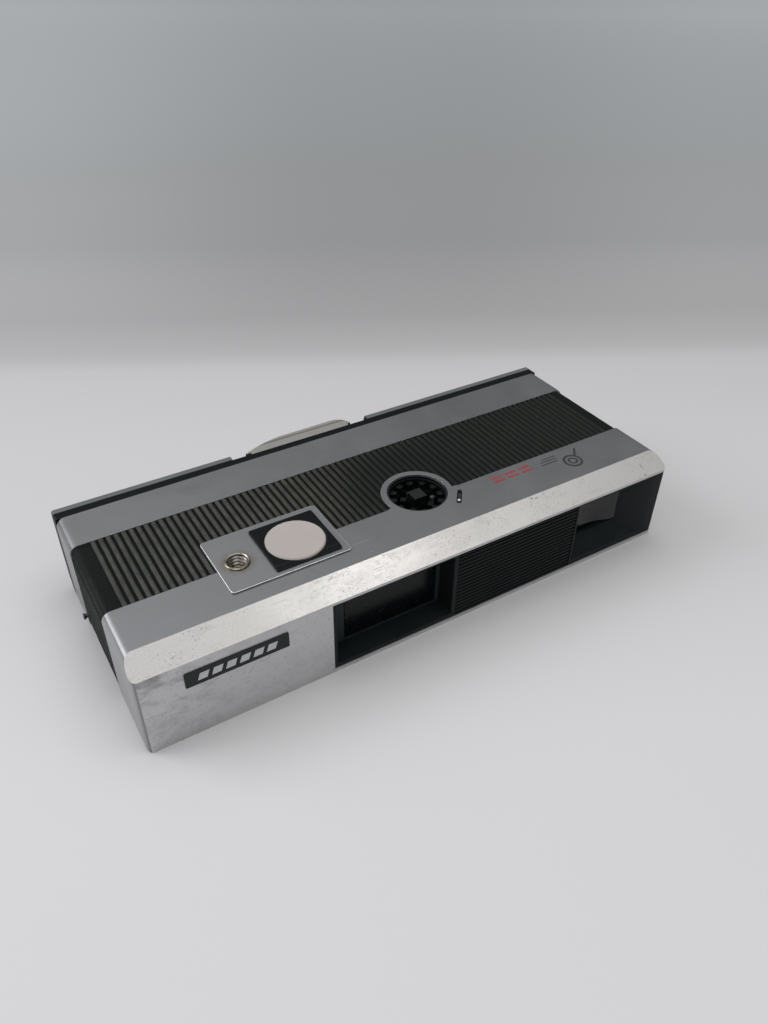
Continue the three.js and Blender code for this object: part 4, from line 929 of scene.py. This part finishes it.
refine("lens_bezel", ["bay_black", "bay_back_painted_light", "black_edge_painted_highlight"], 0.08, 2, 35, 2, bay_paint)
refine("viewfinder_bezel", ["bay_black", "finder_wall_painted_shade", "black_edge_painted_highlight"], 0.08, 2, 30, 2, finder_paint)
refine("grille_frame", ["bay_black"], 0.08, 2, 35)
refine("grille_panel", ["grille"], 0.07, 2, 20)
refine("badge_plate", ["badge"], 0.05, 2, 35)
refine("lens_window", ["smoked"], 0.1, 2, 35)
refine("lens_barrel", ["bay_black"], 0.1, 2, 35)
refine("lens_retaining_ring", ["black"], 0.06, 2, 35)
refine("viewfinder_front_lens", ["finder_glass"], 0.3, 3, 35)
refine("viewfinder_eyepiece", ["clear"], 0.2, 3, 35)
refine("viewfinder_tunnel", ["black"], 0.1, 1, 35)


def bordered(name, outline, hole, low, high, key, body, slot):
    """Flat frame lying level: an outline and a hole with as many points, from height low to high."""
    bm = bmesh.new()
    rings = [[bm.verts.new((x, y, z)) for x, y in line] for line, z in
             ((outline, low), (outline, high), (hole, high), (hole, low))]
    count = len(outline)
    for a in range(4):
        for k in range(count):
            j = (k + 1) % count
            bm.faces.new((rings[a][k], rings[a][j], rings[(a + 1) % 4][j], rings[(a + 1) % 4][k]))
    bmesh.ops.recalc_face_normals(bm, faces=bm.faces)
    mesh = bpy.data.meshes.new(name)
    bm.to_mesh(mesh)
    bm.free()
    return add_object(name, mesh, [key], body, [], slot)


def make_badge_marks():
    """A row of plain slanted pale bars, in place of any lettering."""
    node = "badge_plate"
    low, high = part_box(node)
    count = 6
    margin = 2.3 * MM
    step = (high.x - low.x - 2 * margin) / count
    half = step * 0.34
    lean = 0.3 * MM
    rise = 1.05 * MM
    for i in range(count):
        x = low.x + margin + step * (i + 0.5)
        bar = [(x - half - lean, low.z + rise), (x + half - lean, low.z + rise),
               (x + half + lean, high.z - rise), (x - half + lean, high.z - rise)]
        mesh = prism(bar, low.y - 0.012 * MM, low.y + 0.03 * MM, "y")
        add_object(f"badge_bar_{i + 1}", mesh, ["ink_pale"], BODY_OF[node], [], SLOT_OF[node])


def make_top_marks():
    """Plain printed marks on the front strip: three pairs of red dashes, and two dark rings with strokes."""
    body, slot = BODY_OF["front_cover"], SLOT_OF["front_cover"]
    low, high = TOP - 0.02 * MM, TOP + 0.012 * MM
    first, step, long, wide, lean = 91.2, 4.1, 3.1, 0.75, 0.2
    for i in range(3):
        x = first + step * i
        for k, y in enumerate((13.1, 14.55)):
            dash = placed([(x, y), (x + long, y), (x + long + lean, y + wide), (x + lean, y + wide)])
            add_object(f"print_red_{i + 1}_{k + 1}", prism(dash, low, high), ["ink_red"], body, [], slot)
    centre = at(113.4, 11.2)
    circle = [(math.cos(2 * math.pi * k / 48), math.sin(2 * math.pi * k / 48)) for k in range(48)]
    for i, (out, inn) in enumerate(((2.5, 1.85), (1.3, 0.75))):
        outer, inner = [[(centre.x + r * MM * c, centre.y + r * MM * s) for c, s in circle]
                        for r in (out, inn)]
        bordered(f"print_ring_{i + 1}", outer, inner, low, high, "ink_dark", body, slot)
    strokes = (((115.2, 12.6), (117.3, 15.2), 0.55), ((105.4, 13.2), (110.2, 13.2), 0.32),
               ((105.8, 14.2), (110.6, 14.2), 0.32), ((106.6, 15.1), (110.9, 15.1), 0.28))
    for i, ((x0, y0), (x1, y1), width) in enumerate(strokes):
        along = Vector((x1 - x0, y1 - y0)).normalized()
        side = Vector((-along.y, along.x)) * width / 2
        line = placed([(x0 + side.x, y0 + side.y), (x0 - side.x, y0 - side.y),
                       (x1 - side.x, y1 - side.y), (x1 + side.x, y1 + side.y)])
        add_object(f"print_line_{i + 1}", prism(line, low, high), ["ink_dark"], body, [], slot)


make_badge_marks()
make_top_marks()


# ------------------------------------------------------------------------------------------------
# Body, back, underside and inside
# ------------------------------------------------------------------------------------------------

def door_paint(face):
    """1 the lip that shows along the top, painted pale grey as a painted highlight; 0 the rest."""
    lip = 1.4 * MM
    return 1 if face.center.z > TOP - lip and face.normal.z > 0.2 else 0


for node in ("chassis", "film_chamber", "tripod_block", "viewfinder_housing"):
    refine(node, ["black"], 0.12, 2, 35)
refine("rear_frame", ["black", "black_edge_painted_highlight"], 0.12, 2, 35, 1)
refine("back_door", ["black", "lip_black_painted_highlight", "black_edge_painted_highlight"], 0.15, 2, 30, 2, door_paint)
refine("bottom_cover", ["black_dusty"], 0.12, 2, 35)
refine("door_window", ["label_pane"], 0.1, 2, 35)
refine("door_latch", ["black_dusty"], 0.12, 2, 35)
refine("advance_slide", ["slide"], 0.3, 3, 35)
refine("strap_lug", ["dark_steel"], 0.08, 2, 35)
for i in range(1, 5):
    refine(f"bottom_screw_{i}", ["steel"], 0.06, 2, 35)
for node in ("release_spring", "release_lever", "lever_pin", "shutter_plate", "shutter_blade", "hinge_pin",
             "pressure_spring_left", "pressure_spring_right"):
    keep(node, "steel")
for node in ("lens_front_element", "lens_rear_element"):
    keep(node, "clear")
for node in ("advance_pinion", "film_drive_gear"):
    keep(node, "nylon")


# ------------------------------------------------------------------------------------------------
# Floor, room and lights
# ------------------------------------------------------------------------------------------------

# Distance from the camera along the floor in metres, and the paper's brightness there. The slow fall near the
# object and the rise far behind it are painted light.
PAPER = ((0.00, 0.56), (0.10, 0.55), (0.15, 0.505), (0.21, 0.49), (0.25, 0.46), (0.259, 0.44), (0.271, 0.36),
         (0.30, 0.295), (0.38, 0.255), (0.50, 0.27), (0.80, 0.36), (1.20, 0.48))
PAPER_REACH = 1.3


def make_stage():
    """One pale floor that turns darker and bluer far behind the object, with a soft line between."""
    view = Vector((-AIM_BACK.x, -AIM_BACK.y, 0)).normalized()
    side = Vector((view.y, -view.x, 0))
    half = 3.0
    bm = bmesh.new()
    corners = [EYE + view * a * half + side * b * half for a, b in ((-1, -1), (-1, 1), (1, 1), (1, -1))]
    bm.faces.new([bm.verts.new((c.x, c.y, 0)) for c in corners])
    mesh = bpy.data.meshes.new("floor")
    bm.to_mesh(mesh)
    bm.free()
    n = Nodes("floor_card", Metallic=0.0)
    n.bsdf.inputs["Specular IOR Level"].default_value = 0.2

    def along(direction):
        dot = n.tree.nodes.new("ShaderNodeVectorMath")
        dot.operation = "DOT_PRODUCT"
        n.link(n.place, dot.inputs[0])
        dot.inputs[1].default_value = tuple(direction)
        return n.math("SUBTRACT", dot.outputs["Value"], direction.dot(EYE))

    off = along(side)
    distance = n.math("SUBTRACT", along(view), n.math("MULTIPLY", off, 0.085))
    ramp = n.tree.nodes.new("ShaderNodeValToRGB")
    n.link(n.math("DIVIDE", distance, PAPER_REACH), ramp.inputs[0])
    stops = ramp.color_ramp.elements
    for number, (place, tone) in enumerate(PAPER):
        stop = stops[number] if number < 2 else stops.new(1.0)
        stop.position = place / PAPER_REACH
        stop.color = (tone, tone, tone, 1)
    spread = n.math("DIVIDE", n.math("ABSOLUTE", off), n.math("ADD", distance, 0.05))
    # Painted light: the far paper is made brighter off to the sides.
    glow = n.math("MULTIPLY", n.span(spread, 0.05, 0.42, 0.0, 0.22), n.span(distance, 0.24, 0.36))
    tone = n.math("MULTIPLY", ramp.outputs["Color"], n.math("ADD", glow, 1.0))
    tint = n.mix(n.span(distance, 0.24, 0.6), (1.0, 0.985, 1.0), (0.965, 1.0, 1.02))
    multiply = n.tree.nodes.new("ShaderNodeVectorMath")
    multiply.operation = "SCALE"
    n.link(tint, multiply.inputs[0])
    n.link(tone, multiply.inputs["Scale"])
    grain = n.noise(500, 3, 0.6)
    n.paint(multiply.outputs["Vector"], n.span(grain, 0.3, 0.7, 0.6, 0.7), grain, depth=0.00002, strength=0.2)
    mesh.materials.append(n.material)
    floor = bpy.data.objects.new("floor", mesh)
    bpy.context.scene.collection.objects.link(floor)


def area_light(name, place, size, power, color=(1, 1, 1), mirrored=True):
    """Rectangular lamp that points at the middle of the object's foot. mirrored lets it show in gloss."""
    data = bpy.data.lights.new(name, "AREA")
    data.shape = "RECTANGLE"
    data.size, data.size_y = size
    data.energy = power
    data.color = color
    lamp = bpy.data.objects.new(name, data)
    lamp.location = place
    lamp.visible_glossy = mirrored
    lamp.rotation_mode = "QUATERNION"
    lamp.rotation_quaternion = (-Vector(place)).to_track_quat("-Z", "Y")
    bpy.context.scene.collection.objects.link(lamp)


# Height of a direction in the room, from 0 level to 1 overhead, and how bright the room is there
ROOM = ((0.0, 0.32), (0.42, 0.14), (0.55, 0.18), (0.70, 1.22), (1.0, 0.95))
# How bright the room is from the badge end's side (-1) to the far side (1), as a share of ROOM_SIDE_TOP
ROOM_SIDE = ((-1.0, 0.87), (0.0, 1.0), (0.12, 0.98), (0.27, 0.66), (0.36, 0.54), (0.45, 0.52), (0.54, 0.46),
             (0.65, 0.68), (1.0, 0.68))
ROOM_SIDE_TOP = 1.5
ROOM_STRENGTH = 0.70


def world_ramp(tree, value, stations):
    """Ramp of the room's tone over a value from 0 to 1."""
    ramp = tree.nodes.new("ShaderNodeValToRGB")
    stops = ramp.color_ramp.elements
    for number, (place, tone) in enumerate(stations):
        stop = stops[number] if number < 2 else stops.new(1.0)
        stop.position = place
        stop.color = (tone * 0.985, tone * 0.995, tone * 1.01, 1)
    tree.links.new(value, ramp.inputs[0])
    return ramp.outputs[0]


def make_world():
    """Soft room: grey low down, bright overhead."""
    world = bpy.data.worlds.new("studio")
    world.use_nodes = True
    tree = world.node_tree
    where = tree.nodes.new("ShaderNodeTexCoord").outputs["Generated"]
    split = tree.nodes.new("ShaderNodeSeparateXYZ")
    tree.links.new(where, split.inputs[0])
    height = world_ramp(tree, split.outputs["Z"], ROOM)
    tree.links.new(height, tree.nodes["Background"].inputs["Color"])
    half = tree.nodes.new("ShaderNodeMath")
    half.operation = "MULTIPLY_ADD"
    tree.links.new(split.outputs["X"], half.inputs[0])
    half.inputs[1].default_value = 0.5
    half.inputs[2].default_value = 0.5
    side = world_ramp(tree, half.outputs[0], [((place + 1) / 2, share) for place, share in ROOM_SIDE])
    strength = tree.nodes.new("ShaderNodeMath")
    strength.operation = "MULTIPLY"
    tree.links.new(side, strength.inputs[0])
    strength.inputs[1].default_value = ROOM_SIDE_TOP * ROOM_STRENGTH
    tree.links.new(strength.outputs[0], tree.nodes["Background"].inputs["Strength"])
    bpy.context.scene.world = world


make_stage()
make_world()
area_light("overhead", (0.10, -0.05, 0.75), (0.6, 0.5), 2.0, (1.0, 0.985, 0.97), False)
area_light("highlight", (0.29, -0.215, 0.66), (0.22, 0.22), 0.29, (1.0, 0.98, 0.95))
area_light("side_fill", (-0.62, 0.42, 0.52), (0.5, 0.5), 3.9, (0.96, 0.98, 1.0))
